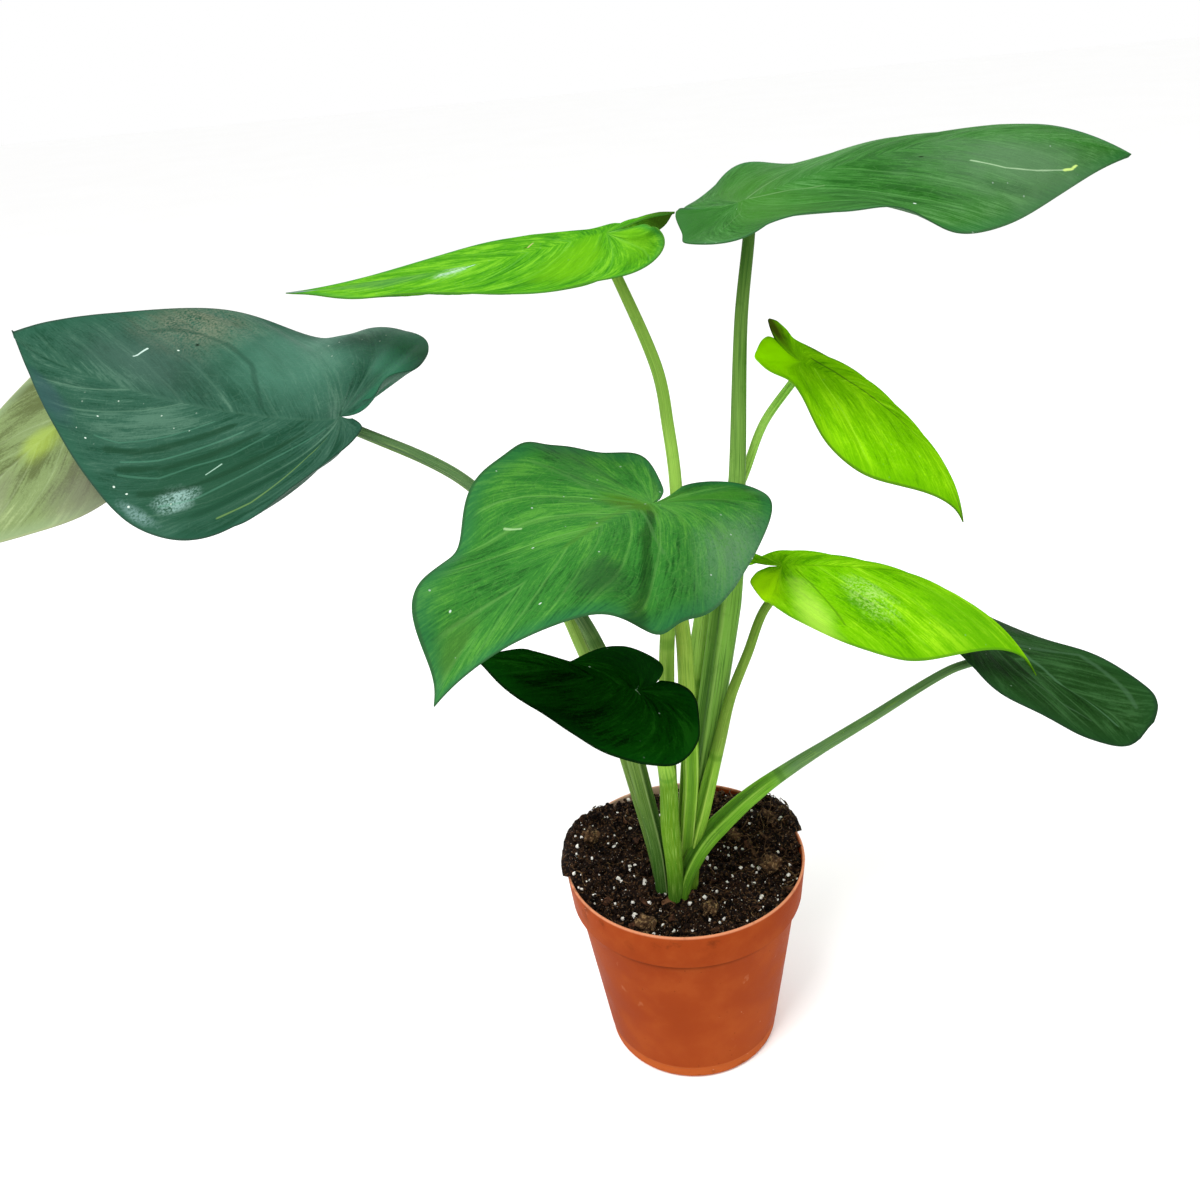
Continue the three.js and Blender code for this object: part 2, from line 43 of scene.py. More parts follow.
print("frame loaded:", len(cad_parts), "nodes")


# Small helpers for modelling

def deselectAll():
    if bpy.context.object and bpy.context.object.mode != "OBJECT":
        bpy.ops.object.mode_set(mode="OBJECT")
    bpy.ops.object.select_all(action="DESELECT")


def pick(piece):
    deselectAll()
    piece.select_set(True)
    bpy.context.view_layer.objects.active = piece
    return piece


def joinPieces(name, parts):
    pick(parts[0])
    for part in parts:
        part.select_set(True)
    bpy.ops.object.join()
    bpy.context.object.name = name
    return bpy.context.object


def setInPlace(piece):
    pick(piece)
    bpy.ops.object.transform_apply(location=True, rotation=True, scale=True)
    return piece


def useModifier(piece, kind, **settings):
    pick(piece)
    modifier = piece.modifiers.new(kind.lower(), kind)
    for setting, value in settings.items():
        setattr(modifier, setting, value)
    bpy.ops.object.modifier_apply(modifier=modifier.name)
    return piece


def smooth(piece, angle=None):
    pick(piece)
    if angle is None:
        bpy.ops.object.shade_smooth()
    else:
        bpy.ops.object.shade_smooth_by_angle(angle=math.radians(angle))
    return piece


def finishPiece(piece, materials, nodes=()):
    piece.data.materials.clear()
    for material in materials:
        piece.data.materials.append(material)
    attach(piece, "root")
    if nodes:
        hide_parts(*nodes)
    return piece


def meshPoints(piece):
    points = np.empty(len(piece.data.vertices) * 3)
    piece.data.vertices.foreach_get("co", points)
    return points.reshape(-1, 3)


def placePoints(piece, points):
    piece.data.vertices.foreach_set("co", np.ascontiguousarray(points, dtype=float).ravel())
    piece.data.update()


def pointNormals(piece):
    normals = np.empty(len(piece.data.vertices) * 3)
    piece.data.vertex_normals.foreach_get("vector", normals)
    return normals.reshape(-1, 3)


def keepValue(piece, name, values):
    attribute = piece.data.attributes.new(name, "FLOAT", "POINT")
    attribute.data.foreach_set("value", values.astype(np.float32))


def readValue(piece, name):
    values = np.empty(len(piece.data.vertices), dtype=np.float32)
    piece.data.attributes[name].data.foreach_get("value", values)
    return values


def inEditMode(piece, tool, **settings):
    # one of Edit Mode's tools, used on the whole piece
    pick(piece)
    bpy.ops.object.mode_set(mode="EDIT")
    bpy.ops.mesh.select_all(action="SELECT")
    tool(**settings)
    bpy.ops.object.mode_set(mode="OBJECT")


def weld(piece, distance=1e-6):
    inEditMode(piece, bpy.ops.mesh.remove_doubles, threshold=distance)


def faceOut(piece):
    inEditMode(piece, bpy.ops.mesh.normals_make_consistent, inside=False)


def addSheet(name, across, along):
    # a grid whose x runs from -1 to 1 and whose y gives the share from 0 to 1; its own UV map is named plan
    deselectAll()
    bpy.ops.mesh.primitive_grid_add(x_subdivisions=across, y_subdivisions=along, size=2)
    sheet = bpy.context.object
    sheet.name = name
    sheet.data.uv_layers[0].name = "plan"
    points = meshPoints(sheet)
    return sheet, points[:, 0], (points[:, 1] + 1) / 2


# Shader helpers: Tone is a socket that takes part in Python expressions, Finish is one material being made

class Tone:
    def __init__(self, finish, socket):
        self.finish = finish
        self.socket = socket

    def calc(self, operation, other=0.0, swapped=False, clamp=False):
        pair = {0: other, 1: self} if swapped else {0: self, 1: other}
        return self.finish.node("Math", {"operation": operation, "use_clamp": clamp}, pair)

    def __add__(self, other):
        return self.calc("ADD", other)

    def __sub__(self, other):
        return self.calc("SUBTRACT", other)

    def __rsub__(self, other):
        return self.calc("SUBTRACT", other, swapped=True)

    def __mul__(self, other):
        return self.calc("MULTIPLY", other)

    def __truediv__(self, other):
        return self.calc("DIVIDE", other)

    def __rtruediv__(self, other):
        return self.calc("DIVIDE", other, swapped=True)

    def __pow__(self, other):
        return self.calc("POWER", other)

    __radd__ = __add__
    __rmul__ = __mul__

    def size(self):
        return self.calc("ABSOLUTE")

    def larger(self, other):
        return self.calc("MAXIMUM", other)

    def clamped(self):
        return self.calc("ADD", 0.0, clamp=True)


class Finish:
    def __init__(self, name, constants):
        self.material = bpy.data.materials.new(name)
        self.material.use_nodes = True
        self.nodes = self.material.node_tree.nodes
        self.links = self.material.node_tree.links
        self.surface = self.nodes["Principled BSDF"]
        for socket, value in constants.items():
            self.surface.inputs[socket].default_value = value

    def node(self, kind, settings=None, values=None, output=0):
        made = self.nodes.new("ShaderNode" + kind)
        for setting, value in (settings or {}).items():
            setattr(made, setting, value)
        for socket, value in (values or {}).items():
            if isinstance(value, Tone):
                self.links.new(value.socket, made.inputs[socket])
            else:
                made.inputs[socket].default_value = value
        return Tone(self, made.outputs[output])

    def place(self):
        return self.node("TexCoord", output="Object")

    def value(self, name):
        return self.node("Attribute", {"attribute_name": name}, output="Fac")

    def axis(self, vector, name):
        return self.node("SeparateXYZ", None, {0: vector}, name)

    def plan(self):
        uv = self.node("UVMap", {"uv_map": "plan"})
        return self.axis(uv, "X"), self.axis(uv, "Y")

    def point(self, x=0.0, y=0.0, z=0.0):
        return self.node("CombineXYZ", None, {"X": x, "Y": y, "Z": z})

    def noise(self, scale, detail=2.0, roughness=0.5, vector=None):
        values = {"Vector": vector or self.place(), "Scale": scale, "Detail": detail, "Roughness": roughness}
        return self.node("TexNoise", None, values, "Fac")

    def cells(self, scale, vector=None, feature="F1"):
        values = {"Vector": vector or self.place(), "Scale": scale}
        return self.node("TexVoronoi", {"feature": feature}, values, "Distance")

    def fade(self, value, low, high, start=0.0, end=1.0):
        values = {"Value": value, "From Min": low, "From Max": high, "To Min": start, "To Max": end}
        return self.node("MapRange", {"interpolation_type": "SMOOTHSTEP"}, values)

    def mix(self, share, first, second):
        # a colour may be a socket, or a code as paint takes it
        first, second = (paint(tone) if isinstance(tone, str) else tone for tone in (first, second))
        return self.node("Mix", {"data_type": "RGBA"}, {0: share, 6: first, 7: second}, 2)

    def layers(self, base, *coats):
        # colours laid over one another, each where its mask says
        for mask, tone in coats:
            base = self.mix(mask, base, tone)
        return base

    def bump(self, height, strength, distance):
        return self.node("Bump", None, {"Height": height, "Strength": strength, "Distance": distance})

    def feed(self, **sockets):
        for name, tone in sockets.items():
            self.links.new(tone.socket, self.surface.inputs[name.replace("_", " ")])
        return self.material


def paint(code):
    # a colour as seen on screen, such as "5fbe1e", in the linear values that a shader takes
    seen = [int(code[k:k + 2], 16) / 255 for k in (0, 2, 4)]
    return tuple(v / 12.92 if v <= 0.04045 else ((v + 0.055) / 1.055) ** 2.4 for v in seen) + (1.0,)


# Camera: the photograph's place, looking level with +Y, then down and a little to one side

# place in millimetres, angles in degrees, focal length and frame width in the photograph's pixels
view = {"place": (-31, -460, 489), "down": 26.75, "roll": -5.16, "focal": 1150, "frameWidth": 1200,
        "sensor": 36}


def addCamera():
    down = Matrix.Rotation(math.radians(90 - view["down"]), 4, "X")
    roll = Matrix.Rotation(math.radians(view["roll"]), 4, "Z")
    deselectAll()
    bpy.ops.object.camera_add()
    camera = bpy.context.object
    camera.matrix_world = Matrix.Translation(Vector(view["place"]) * mm) @ down @ roll
    camera.data.sensor_width = view["sensor"]
    camera.data.lens = view["focal"] / view["frameWidth"] * view["sensor"]
    camera.data.clip_start = 0.01
    bpy.context.scene.camera = camera


# Leaves

# half of a leaf's outline, from the notch round the lobe to the tip: share of the lobe's length below 0 and
# of the blade's length above it, share of the half width, and what a full tip adds to that
halfOutline = [
    (-0.34, 0.03, 0), (-0.8, 0.15, 0), (-1, 0.42, 0), (-0.8, 0.74, 0), (-0.22, 0.97, 0), (0.16, 1, 0),
    (0.4, 0.86, 0.06), (0.62, 0.57, 0.13), (0.8, 0.28, 0.16), (0.92, 0.1, 0.1), (1, 0, 0),
]

keptFields = ("spacing", "ribDistance", "edgeDistance", "strength")
bladeForm = {
    "midribStart": 0.42, "midribPower": 1.45, "bendPower": 1.5, "thickness": 0.5,
    "rows": 160, "columns": 36, "ribRadius": 1.3, "sweepPower": 1.2, "stalkReach": 3, "stalkDrop": 6.25,
}

# What a leaf's rows hold. notch is a point, turn is heading, pitch and roll in degrees, and pairs are the
# left and the right half. laterals is how many side veins a half has, sweep how far they lean to the tip,
# sink how deep they lie and pillow how far the blade swells between them. tones are colours, and finish is
# how strongly each pattern shows.
leafColumns = {
    "shape": "notch turn length halfWidth lobe droop lobeDroop fold curl widths lobes tipFullness twist",
    "veins": "laterals sweep sink pillow",
    "tones": "deep main light vein margin rim under",
    "finish": "cloud bands streaks fine halo net veinShow ribShow shine coat rough specks",
}

# A ripple is (side, place along the outline, rise of the margin, spread), and reshape moves a point of half
# an outline. Places on a blade are in hundredths: across it, with the midrib at 50, and from notch to tip.
# A patch is (across, along, its two sizes, tone, share) and may add how ragged its edge is, where its core
# starts, a speckle and a gloss. A stroke is (tone, width in mm, share) and its points. A dot is a point.
patchExtras = (0.8, 0.3, None, 0)
leaves = {
    "top": {
        "shape": ((37, 10, 420), (1, -16, 17), 162, 64, 30, 39, -30, (-16, 6), (-11, 19), (1, 0.97),
                  (0.61, 0.93), 0.3, 26),
        "veins": (11, 0.2, 0.3, 0.5), "tones": "1b4b15 2c6123 46773e 578b4c 296035 2f5030 4f7a42",
        "finish": (1.2, 0.5, 1, 1.8, 0.1, 0.1, 0.3, 0, 0.005, 0.02, 0.42, 0.5),
        "ripples": [(1, 0.46, 12, 0.06), (1, 0.61, -12, 0.16), (1, 0.72, -5, 0.06), (-1, 0.47, 10, 0.08),
                    (-1, 0.55, 8, 0.04), (-1, 0.69, -18, 0.2), (1, 0.27, -6, 0.05), (-1, 0.26, -2, 0.07)],
        "reshape": [(1, 0, -0.51, -0.05), (1, 1, -0.86, -0.06), (1, 2, -1, 0.36), (1, 3, -1.07, 0.71)],
        # the first patch is a grey-green painted sheen towards the tip
        "patches": [(78, 80, 45, 17, "567555", 0.65, 0.9, 0.1), (50, 45, 50, 14, "356820", 0.6),
                    (90, 16, 35, 20, "25581d", 0.8)],
        "strokes": [
            ("96b38d", 0.9, 0.75, (70, 75.2), (78.8, 77.2), (85, 80.3), (90, 84.2)),
            ("b4d073", 1.4, 1, (90, 84.2), (91, 85.6), (89.8, 86.8)),
            ("618354", 0.9, 0.55, (48.8, 46), (41.2, 51), (36.2, 54)),
            ("618354", 0.8, 0.55, (50, 47), (55, 54), (60, 58)), ("25412b", 6, 0.3, (84, 73), (90, 75.5)),
            ("567c4a", 0.7, 0.4, (51, 44), (62, 37), (74, 33)),
            ("567c4a", 0.7, 0.4, (49, 44), (40, 36), (30, 31)), ("111a0d", 1.1, 0.9, (60, 72)),
        ],
        "dots": [(83.8, 61.5), (55, 35)],
    },
    "upper_left": {
        "shape": ((-15, 24, 411), (168, 11, -20), 143, 64, 34, -11, -18, (-8, -15), (36, 3), (1, 1.01),
                  (1.04, 0.61), -0.3, 5),
        # the underside tone is darkened as painted shade for the far lobe
        "veins": (11, 0.1, 0.4, 0.6), "tones": "2a6a12 418314 629f21 6ca74a 327234 3f6c20 1c3006",
        "finish": (1, 1.1, 1.8, 1.7, 0.12, 0.12, 0.35, 0, 0, 0, 0.4, 0.2),
        "ripples": [(1, 0.23, 8, 0.07), (1, 0.63, 12, 0.15), (-1, 0.42, -23, 0.13), (1, 0.41, 3, 0.05),
                    (-1, 0.22, -7, 0.09), (1, 0.87, 1, 0.07)],
        "reshape": [(0, 1, -0.51, 0.07), (0, 2, -0.69, 0.33), (0, 3, -0.83, 0.61)],
        # the first patch is a whitish painted sheen
        "patches": [(46, 75.5, 11, 3, "8cac84", 0.8, 1.9, 0.3, 0.12), (50, 87, 35, 12, "3a6a39", 0.6),
                    (36, 50, 20, 10, "5c970d", 0.6, 1.2), (25, 20, 25, 20, "5c970d", 0.5),
                    # the first of these patches is painted shade on the far lobe
                    (100, 31, 34, 16, "2c4a0d", 1, 0.2), (50, 99, 60, 4.5, "6f6d82", 1, 0.6)],
        "strokes": [
            ("1a2c0a", 1.3, 0.8, (60, 62)), ("9a9764", 0.7, 1, (58.8, 61.8), (63.8, 60)),
            # these two pale strokes are streaks of the painted sheen
            ("b4cccb", 0.6, 0.8, (44, 77), (50, 73)), ("b4cccb", 0.5, 0.7, (42, 76.5), (47, 73.5)),
        ],
    },
    "upper_right": {
        "shape": ((64, 22, 351), (-13, 26, 4), 104, 43, 20, 52, -29, (8, 0), (-39, 0), (0.98, 1.03),
                  (1.01, 1.03), 0.35, 2),
        "veins": (10, 0.16, 0.3, 0.5), "tones": "4b8e02 6bb303 8cd00f a4e431 5ba008 486c18 46601a",
        "seat": (1, 6.25),
        "finish": (1, 0.9, 1.1, 1.2, 0.12, 0.12, 0.35, 0.05, 0, 0, 0.42, 0.1),
        "ripples": [(1, 0.34, 3, 0.06), (-1, 0.41, 9, 0.07), (-1, 0.61, -15, 0.17), (-1, 0.25, -1, 0.04),
                    (1, 0.69, -4, 0.1)],
        "reshape": [(1, 0, -0.23, -0.33), (1, 1, -0.87, -0.02), (1, 2, -1.04, 0.55), (1, 3, -0.86, 0.75)],
        # the first two patches are painted shade on the far lobe and along the far margin
        "patches": [(0, 20, 45, 15, "3d4c0d", 1, 0.2), (5, 48, 28, 12, "3b5c16", 0.9, 0.6),
                    # the first patch here is painted light that brightens the near lobe
                    (80, 22, 40, 24, "9bed00", 0.95, 0.5), (50, 99, 70, 6, "4b5c25", 0.9, 0.4)],
        "strokes": [
            ("3d6812", 1, 0.75, (42, 47), (45, 58), (47.5, 70), (50, 85)),
        ],
    },
    "front": {
        "shape": ((-7, -34, 315), (226, -5, 2), 126, 52, 44, 48, 28, (-12, 1), (-35, 29), (0.87, 1.08),
                  (1.14, 0.48), -0.05, 12),
        "veins": (11, 0.2, 0.4, 0.7), "tones": "194a1a 2d6a27 498531 689b4f 225d3d 284c2c 47733c",
        "finish": (1.3, 0.8, 1, 1.4, 0.15, 0.12, 0.38, 0.05, 0.015, 0.03, 0.4, 0.9),
        "ripples": [(1, 0.22, 15, 0.21), (1, 0.5, -14, 0.1), (1, 0.6, -10, 0.04), (-1, 0.21, 10, 0.09),
                    (-1, 0.58, 8, 0.09), (-1, 0.8, 20, 0.09), (1, 0.36, -7, 0.07), (-1, 0.66, -4, 0.04),
                    (-1, 0.48, 4, 0.04)],
        # the first patch is a grey-green painted sheen on a lobe
        "patches": [(9, 39, 24, 15, "56785a", 0.8, 1.2, 0, 0.22), (55, 48, 16, 6, "3c6412", 0.8),
                    (25, 20, 30, 7, "38711f", 0.6), (20, 66, 15, 6, "254625", 0.6),
                    (79, 90, 20, 7, "3a6525", 0.6)],
        "strokes": [
            # the first stroke is painted shade in the crease between the halves
            ("12300e", 4, 0.6, (44, 49), (33.8, 55), (18.8, 58), (8.7, 61), (0, 63)),
            ("49793e", 1.5, 0.5, (47.5, 51), (32.5, 53), (23.8, 53)),
            ("4b7f37", 1.8, 0.55, (54, 50), (60, 56), (70, 61), (82.5, 64), (91.3, 68)),
            ("3e6e25", 3, 0.5, (53, 52), (54, 62), (51, 72)),
            ("477b39", 1.4, 0.45, (56, 46), (65, 49), (80, 48), (92.5, 50)),
            ("97b985", 0.6, 0.7, (85, 64), (79, 64)),
        ],
        "dots": [(86.2, 83), (16.2, 75), (68, 70)],
    },
    "right": {
        "shape": ((50, -6, 269), (-6, 1, 2), 130, 47, 27, 69, -12, (-6, -8), (-23, -12), (1.03, 1),
                  (0.83, 0.93), -0.15, -18),
        "veins": (11, 0.16, 0.35, 0.6), "tones": "478902 68ac05 90ca1a a1d733 5c9f07 4c7c18 5c8020",
        "finish": (1, 0.9, 1.1, 1.3, 0.12, 0.12, 0.4, 0.05, 0, 0, 0.4, 0.15),
        "ripples": [(1, 0.36, -9, 0.06), (-1, 0.32, 20, 0.17), (-1, 0.64, -17, 0.15), (1, 0.57, -2, 0.09),
                    (-1, 0.48, -1, 0.06)],
        "reshape": [(1, 0, -0.24, 0.04), (1, 1, -0.48, 0.23), (1, 2, -0.64, 0.62), (1, 3, -0.47, 1.01)],
        # the first patch is pale streaks of painted reflection
        "patches": [(72, 60, 16, 5, "abcd74", 0.6, 1.9, 0.3, 0.05),
                    # a band of painted light shining through the blade, then painted light that brightens
                    # the lobe
                    (84, 47, 34, 5.5, "b0dc50", 0.6, 1.6, 0), (80, 25, 35, 22, "a7e509", 0.9),
                    (80, 78, 36, 13, "4f9408", 0.6, 0.9), (60, 97, 60, 6, "45690d", 0.6)],
        "strokes": [
            ("376109", 0.9, 0.5, (53.8, 48), (65, 50), (75, 51), (90, 52)),
            ("4e7d09", 0.8, 0.5, (50, 47), (51.2, 59), (50, 75), (50, 90)),
        ],
    },
    "far_right": {
        "shape": ((148, 7, 213), (-30, 25, -14), 80, 38, 20, -1, 8, (12, 2), (-19, -4), (1.01, 1),
                  (0.99, 0.97), 0.8, 10),
        "veins": (10, 0.3, 0.4, 0.4), "tones": "0e270b 183714 2a4d27 40663c 1d411e 1c3420 3a5c38",
        "finish": (1.2, 1.3, 1.4, 0.9, 0.15, 0.15, 0.45, 0.3, 0.005, 0, 0.45, 0.4),
        "ripples": [(1, 0.85, 12, 0.19), (-1, 0.5, -4, 0.09), (-1, 0.82, -9, 0.2), (1, 0.68, 3, 0.1)],
        "reshape": [(0, 8, 0.88, 0.25), (0, 9, 0.975, 0.1), (1, 8, 0.83, 0.22), (1, 9, 0.95, 0.09)],
        "strokes": [
            ("375639", 1.6, 0.6, (42, 50), (30, 56), (20, 61), (7.5, 67), (11.2, 78), (16.2, 89)),
            ("3e6041", 1.6, 0.7, (36.2, 53), (42.5, 69), (55, 83), (77.5, 89)),
            ("405c41", 0.7, 0.4, (62, 52), (74, 65), (84, 78)),
        ],
    },
    "low": {
        "shape": ((-19, -54, 241), (184, -27, -13), 71, 38, 28, 16, 18, (-4, -7), (-4, -9), (1.06, 1),
                  (0.94, 1.19), -0.3, 12),
        # the tones are the leaf's own dark green, darkened further as painted shade from the front leaf
        # above
        "veins": (9, 0.2, 0.25, 0.3), "tones": "021502 052f03 13480b 1f5b18 063508 0a1c0a 14280f",
        "finish": (1.3, 1.2, 1.2, 0.9, 0.12, 0.1, 0.25, 0.05, 0, 0, 0.4, 0.5),
        "ripples": [(1, 0.12, 8, 0.09), (1, 0.78, -6, 0.12), (-1, 0.59, -15, 0.09), (-1, 0.24, -2, 0.06),
                    (1, 0.48, 2, 0.1)],
        "reshape": [(0, 0, -0.4, -0.23), (0, 1, -0.59, -0.11), (0, 2, -1.05, -0.04), (0, 3, -1.14, 0.33),
                    (0, 4, -0.58, 0.84), (1, 0, -0.1, 0.06), (1, 1, -0.18, 0.11), (1, 2, -0.33, 0.33),
                    (1, 3, -0.58, 0.83)],
        "patches": [(90, 30, 40, 30, "123d16", 0.5, 1)],
        "strokes": [
            # these two pale strokes are a painted glint at the notch
            ("869f84", 0.6, 0.8, (50, 45), (49, 42), (47, 38)),
            ("6c8b71", 0.5, 0.6, (50, 45), (52, 42), (55, 40)),
        ],
        "dots": [(70, 60)],
    },
    "left": {
        "shape": ((-135, 21, 346), (156, -7, -24), 172, 71, 32, -14, -5, (-6, 25), (9, -60), (1.11, 0.87),
                  (0.77, 0.84), 0.8, -28),
        "veins": (12, 0.2, 0.6, 1.2), "tones": "163a29 264a3a 3f604f 587a65 234c3a 243c30 1c4030",
        "bow": 10, "seat": (3, 3.5), "veinSides": (1, 0.35),
        "finish": (1.3, 1.2, 1.1, 1.1, 0.1, 0.1, 0.4, 0.2, 0.008, 0.06, 0.42, 0.9),
        "ripples": [(1, 0.31, 23, 0.21), (-1, 0.12, 17, 0.08), (-1, 0.56, -20, 0.07),
                    (-1, 0.72, -16, 0.18), (-1, 0.32, -3, 0.09), (1, 0.51, -4, 0.11)],
        "reshape": [(1, 0, -0.36, 0.12), (1, 1, -0.91, 0.06), (1, 2, -1.05, 0.35)],
        "patches": [(88, 69, 20, 11, "686e5b", 0.8, 1.8, 0.1, 0.1),
                    (70, 78, 30, 15, "3b5149", 0.5, 0.8, 0.1), (20, 56, 26, 17, "193d29", 0.75, 0.9, 0.2),
                    (80, 17, 30, 16, "1f5a40", 0.8, 0.5), (92, 35, 26, 13, "40765f", 0.85, 0.6),
                    (74, 56, 28, 16, "44705e", 0.5, 0.9),
                    # this patch is a pale painted highlight, with real coat gloss added
                    (13, 58, 8, 3.5, "8eafa8", 0.6, 1.8, 0.3, 0.06, 0.3),
                    (3, 60, 3, 5, "6a8782", 0.7, 1.8, 0.3, 0.05), (6, 84, 10, 8, "2d4549", 0.6)],
        "strokes": [
            # these four dark strokes are painted shade in the valleys beside the side veins
            ("143421", 3.4, 0.75, (43.1, 63.7), (30.5, 66.3), (19.5, 68.7), (12.5, 71.7)),
            ("143421", 3.4, 0.75, (42.5, 58.2), (30, 61.2), (20.1, 64), (10.4, 67.9)),
            ("143421", 3.4, 0.75, (44.5, 50), (29.5, 55.2), (18.2, 58.5), (8.7, 62.6)),
            ("163726", 4, 0.6, (42, 42), (28, 47.5), (17, 50.5), (10, 53)),
            ("45755f", 0.8, 0.35, (43.8, 67), (31.2, 69), (17.5, 72), (12.5, 75)),
            ("45755f", 0.8, 0.45, (42.5, 61), (30, 64), (21.2, 66), (12.5, 69)),
            ("45755f", 0.8, 0.35, (42.5, 56), (32.5, 58), (25, 61), (16.2, 63), (8.7, 67)),
            ("45755f", 0.8, 0.4, (46.2, 45), (32.5, 51), (22.5, 54), (15, 56), (8.7, 59)),
            ("1e3d2f", 2, 0.55, (53.8, 61), (70, 62), (78.8, 65), (83.8, 68), (87.5, 75)),
            ("617f44", 0.9, 0.6, (41.2, 41), (25, 44), (15, 46), (8.7, 49)),
            ("b1c8bd", 0.6, 0.9, (72.5, 79), (74.2, 77.8), (76.2, 76.2)),
            ("95b7a4", 0.5, 0.8, (24, 58.5), (28.8, 58)), ("0d1e13", 1.3, 0.95, (77.5, 69)),
        ],
        "dots": [(76.2, 72), (5, 66), (3.7, 62), (8.7, 75), (20, 78), (6.2, 64)],
    },
    "pale": {
        "shape": ((-256, 84, 352), (212, 27, -24), 118, 52, 30, 12, 6, (-4, -4), (-8, -6), (1, 0.85),
                  (0.9, 0.7), 0.6, 0),
        "veins": (10, 0.2, 0.3, 0.4), "tones": "505b36 6d7e51 8a9a6a 98a881 819471 86906a 8f9c6c",
        "finish": (1.8, 1.2, 0.8, 0.5, 0.1, 0.08, 0.3, 0.5, 0.02, 0, 0.55, 0),
        "ripples": [(1, 0.4, 2, 0.1), (1, 0.62, -2, 0.1), (-1, 0.4, 3, 0.1)],
        "patches": [(10, 58, 28, 12, "606054", 0.65, 1, 0.1), (50, 68, 16, 8, "8ea441", 0.6, 0.9),
                    (30, 80, 30, 8, "6d6d5d", 0.4, 1)],
    },
}


def byColumn(names, row):
    return zip(names.split(), row.split() if isinstance(row, str) else row)


for leafRows in leaves.values():
    for label, names in leafColumns.items():
        leafRows.update(byColumn(names, leafRows[label]))


def outlinePoints(leaf, half, place):
    # the smooth curve through the outline's points, by the same formula as the solid's
    keys = np.array(halfOutline, dtype=float)
    for side, key, away, across in leaf.get("reshape", []):
        if side == half:
            keys[key, :2] = away, across
    reach = np.where(keys[:, 0] < 0, leaf["lobe"] * leaf["lobes"][half], leaf["length"])
    across = (keys[:, 1] + keys[:, 2] * leaf["tipFullness"]) * leaf["halfWidth"] * leaf["widths"][half]
    points = np.stack([keys[:, 0] * reach, across], axis=1)
    last = len(keys) - 1
    span = np.minimum((place * last).astype(int), last - 1)
    part = (place * last - span)[:, None]
    before, start, end, after = (points[np.clip(span + k, 0, last)] for k in (-1, 0, 1, 2))
    slope1 = (end - before) / 2
    slope2 = (after - start) / 2
    cubic = 2 * start - 2 * end + slope1 + slope2
    square = -3 * start + 3 * end - 2 * slope1 - slope2
    return ((cubic * part + square) * part + slope1) * part + start


def flatBlade(leaf, half, place, out):
    # where a point of the blade lies before the blade is bent: along the midrib, and away from it
    margin = outlinePoints(leaf, half, place)
    start, power = bladeForm["midribStart"], bladeForm["midribPower"]
    midrib = leaf["length"] * np.clip((place - start) / (1 - start), 0, None) ** power
    return midrib + out * (margin[:, 0] - midrib), out * margin[:, 1], margin, midrib


def leafFrame(leaf):
    heading, pitch, roll = (math.radians(angle) for angle in leaf["turn"])
    turn = Matrix.Rotation(heading, 4, "Z") @ Matrix.Rotation(pitch, 4, "Y") @ Matrix.Rotation(roll, 4, "X")
    return Matrix.Translation(Vector(leaf["notch"])) @ turn


def bladeHalf(leaf, half, place, out):
    # the bent blade of one half, in the leaf's own axes
    side = 1 if half == 0 else -1
    along, across, margin, midrib = flatBlade(leaf, half, place, out)
    power = bladeForm["bendPower"]
    ahead = math.radians(leaf["droop"]) * np.clip(along / leaf["length"], 0, None) ** power
    behind = math.radians(-leaf["lobeDroop"]) * np.clip(-along / leaf["lobe"], 0, None)
    bend = np.where(along >= 0, ahead, behind)
    meanBend = np.where(along >= 0, ahead / (power + 1), behind / 2)
    fold = np.radians(leaf["fold"][half] + leaf["curl"][half] * across / (2 * leaf["halfWidth"]))
    bow = leaf.get("bow", 0) * np.sin(math.pi * np.clip(midrib / leaf["length"], 0, 1)) ** 0.4
    lateral = side * across * np.cos(fold) + bow * (1 - out)
    lift = across * np.sin(fold)
    for rippleSide, centre, rise, spread in leaf["ripples"]:
        if rippleSide == side:
            lift = lift + rise * out * out * np.exp(-(((place - centre) / spread) ** 2))
    twist = math.radians(leaf["twist"]) * np.clip(along / leaf["length"], 0, 1)
    lean = lateral * np.cos(twist) - lift * np.sin(twist)
    lift = lateral * np.sin(twist) + lift * np.cos(twist)
    forward = along * np.cos(meanBend) + lift * np.sin(bend)
    return np.stack([forward, lean, -along * np.sin(meanBend) + lift * np.cos(bend)], axis=1)


def veinPhase(leaf, place, out, larger=np.maximum):
    # whole numbers lie on the side veins, which fan out from the notch and lean towards the tip further on
    # the mesh asks with arrays, the finish with tones, so that both have the same veins
    start = bladeForm["midribStart"]
    lean = leaf["sweep"] * out ** bladeForm["sweepPower"]
    fromNotch = place / (1 + lean / start)
    fromMidrib = (place - lean / (1 - start)) / (1 - lean / (1 - start))
    return leaf["laterals"] * larger(fromNotch, fromMidrib)


def veinStrength(leaf, half, phase):
    # some side veins are stronger than others
    seed = leaf["laterals"] + 10 * leaf["sweep"] + 3 * half
    values = [noise.cell(Vector((float(k) + 0.5, seed, 0.5))) for k in np.round(phase)]
    return 0.45 + 0.55 * np.array(values)


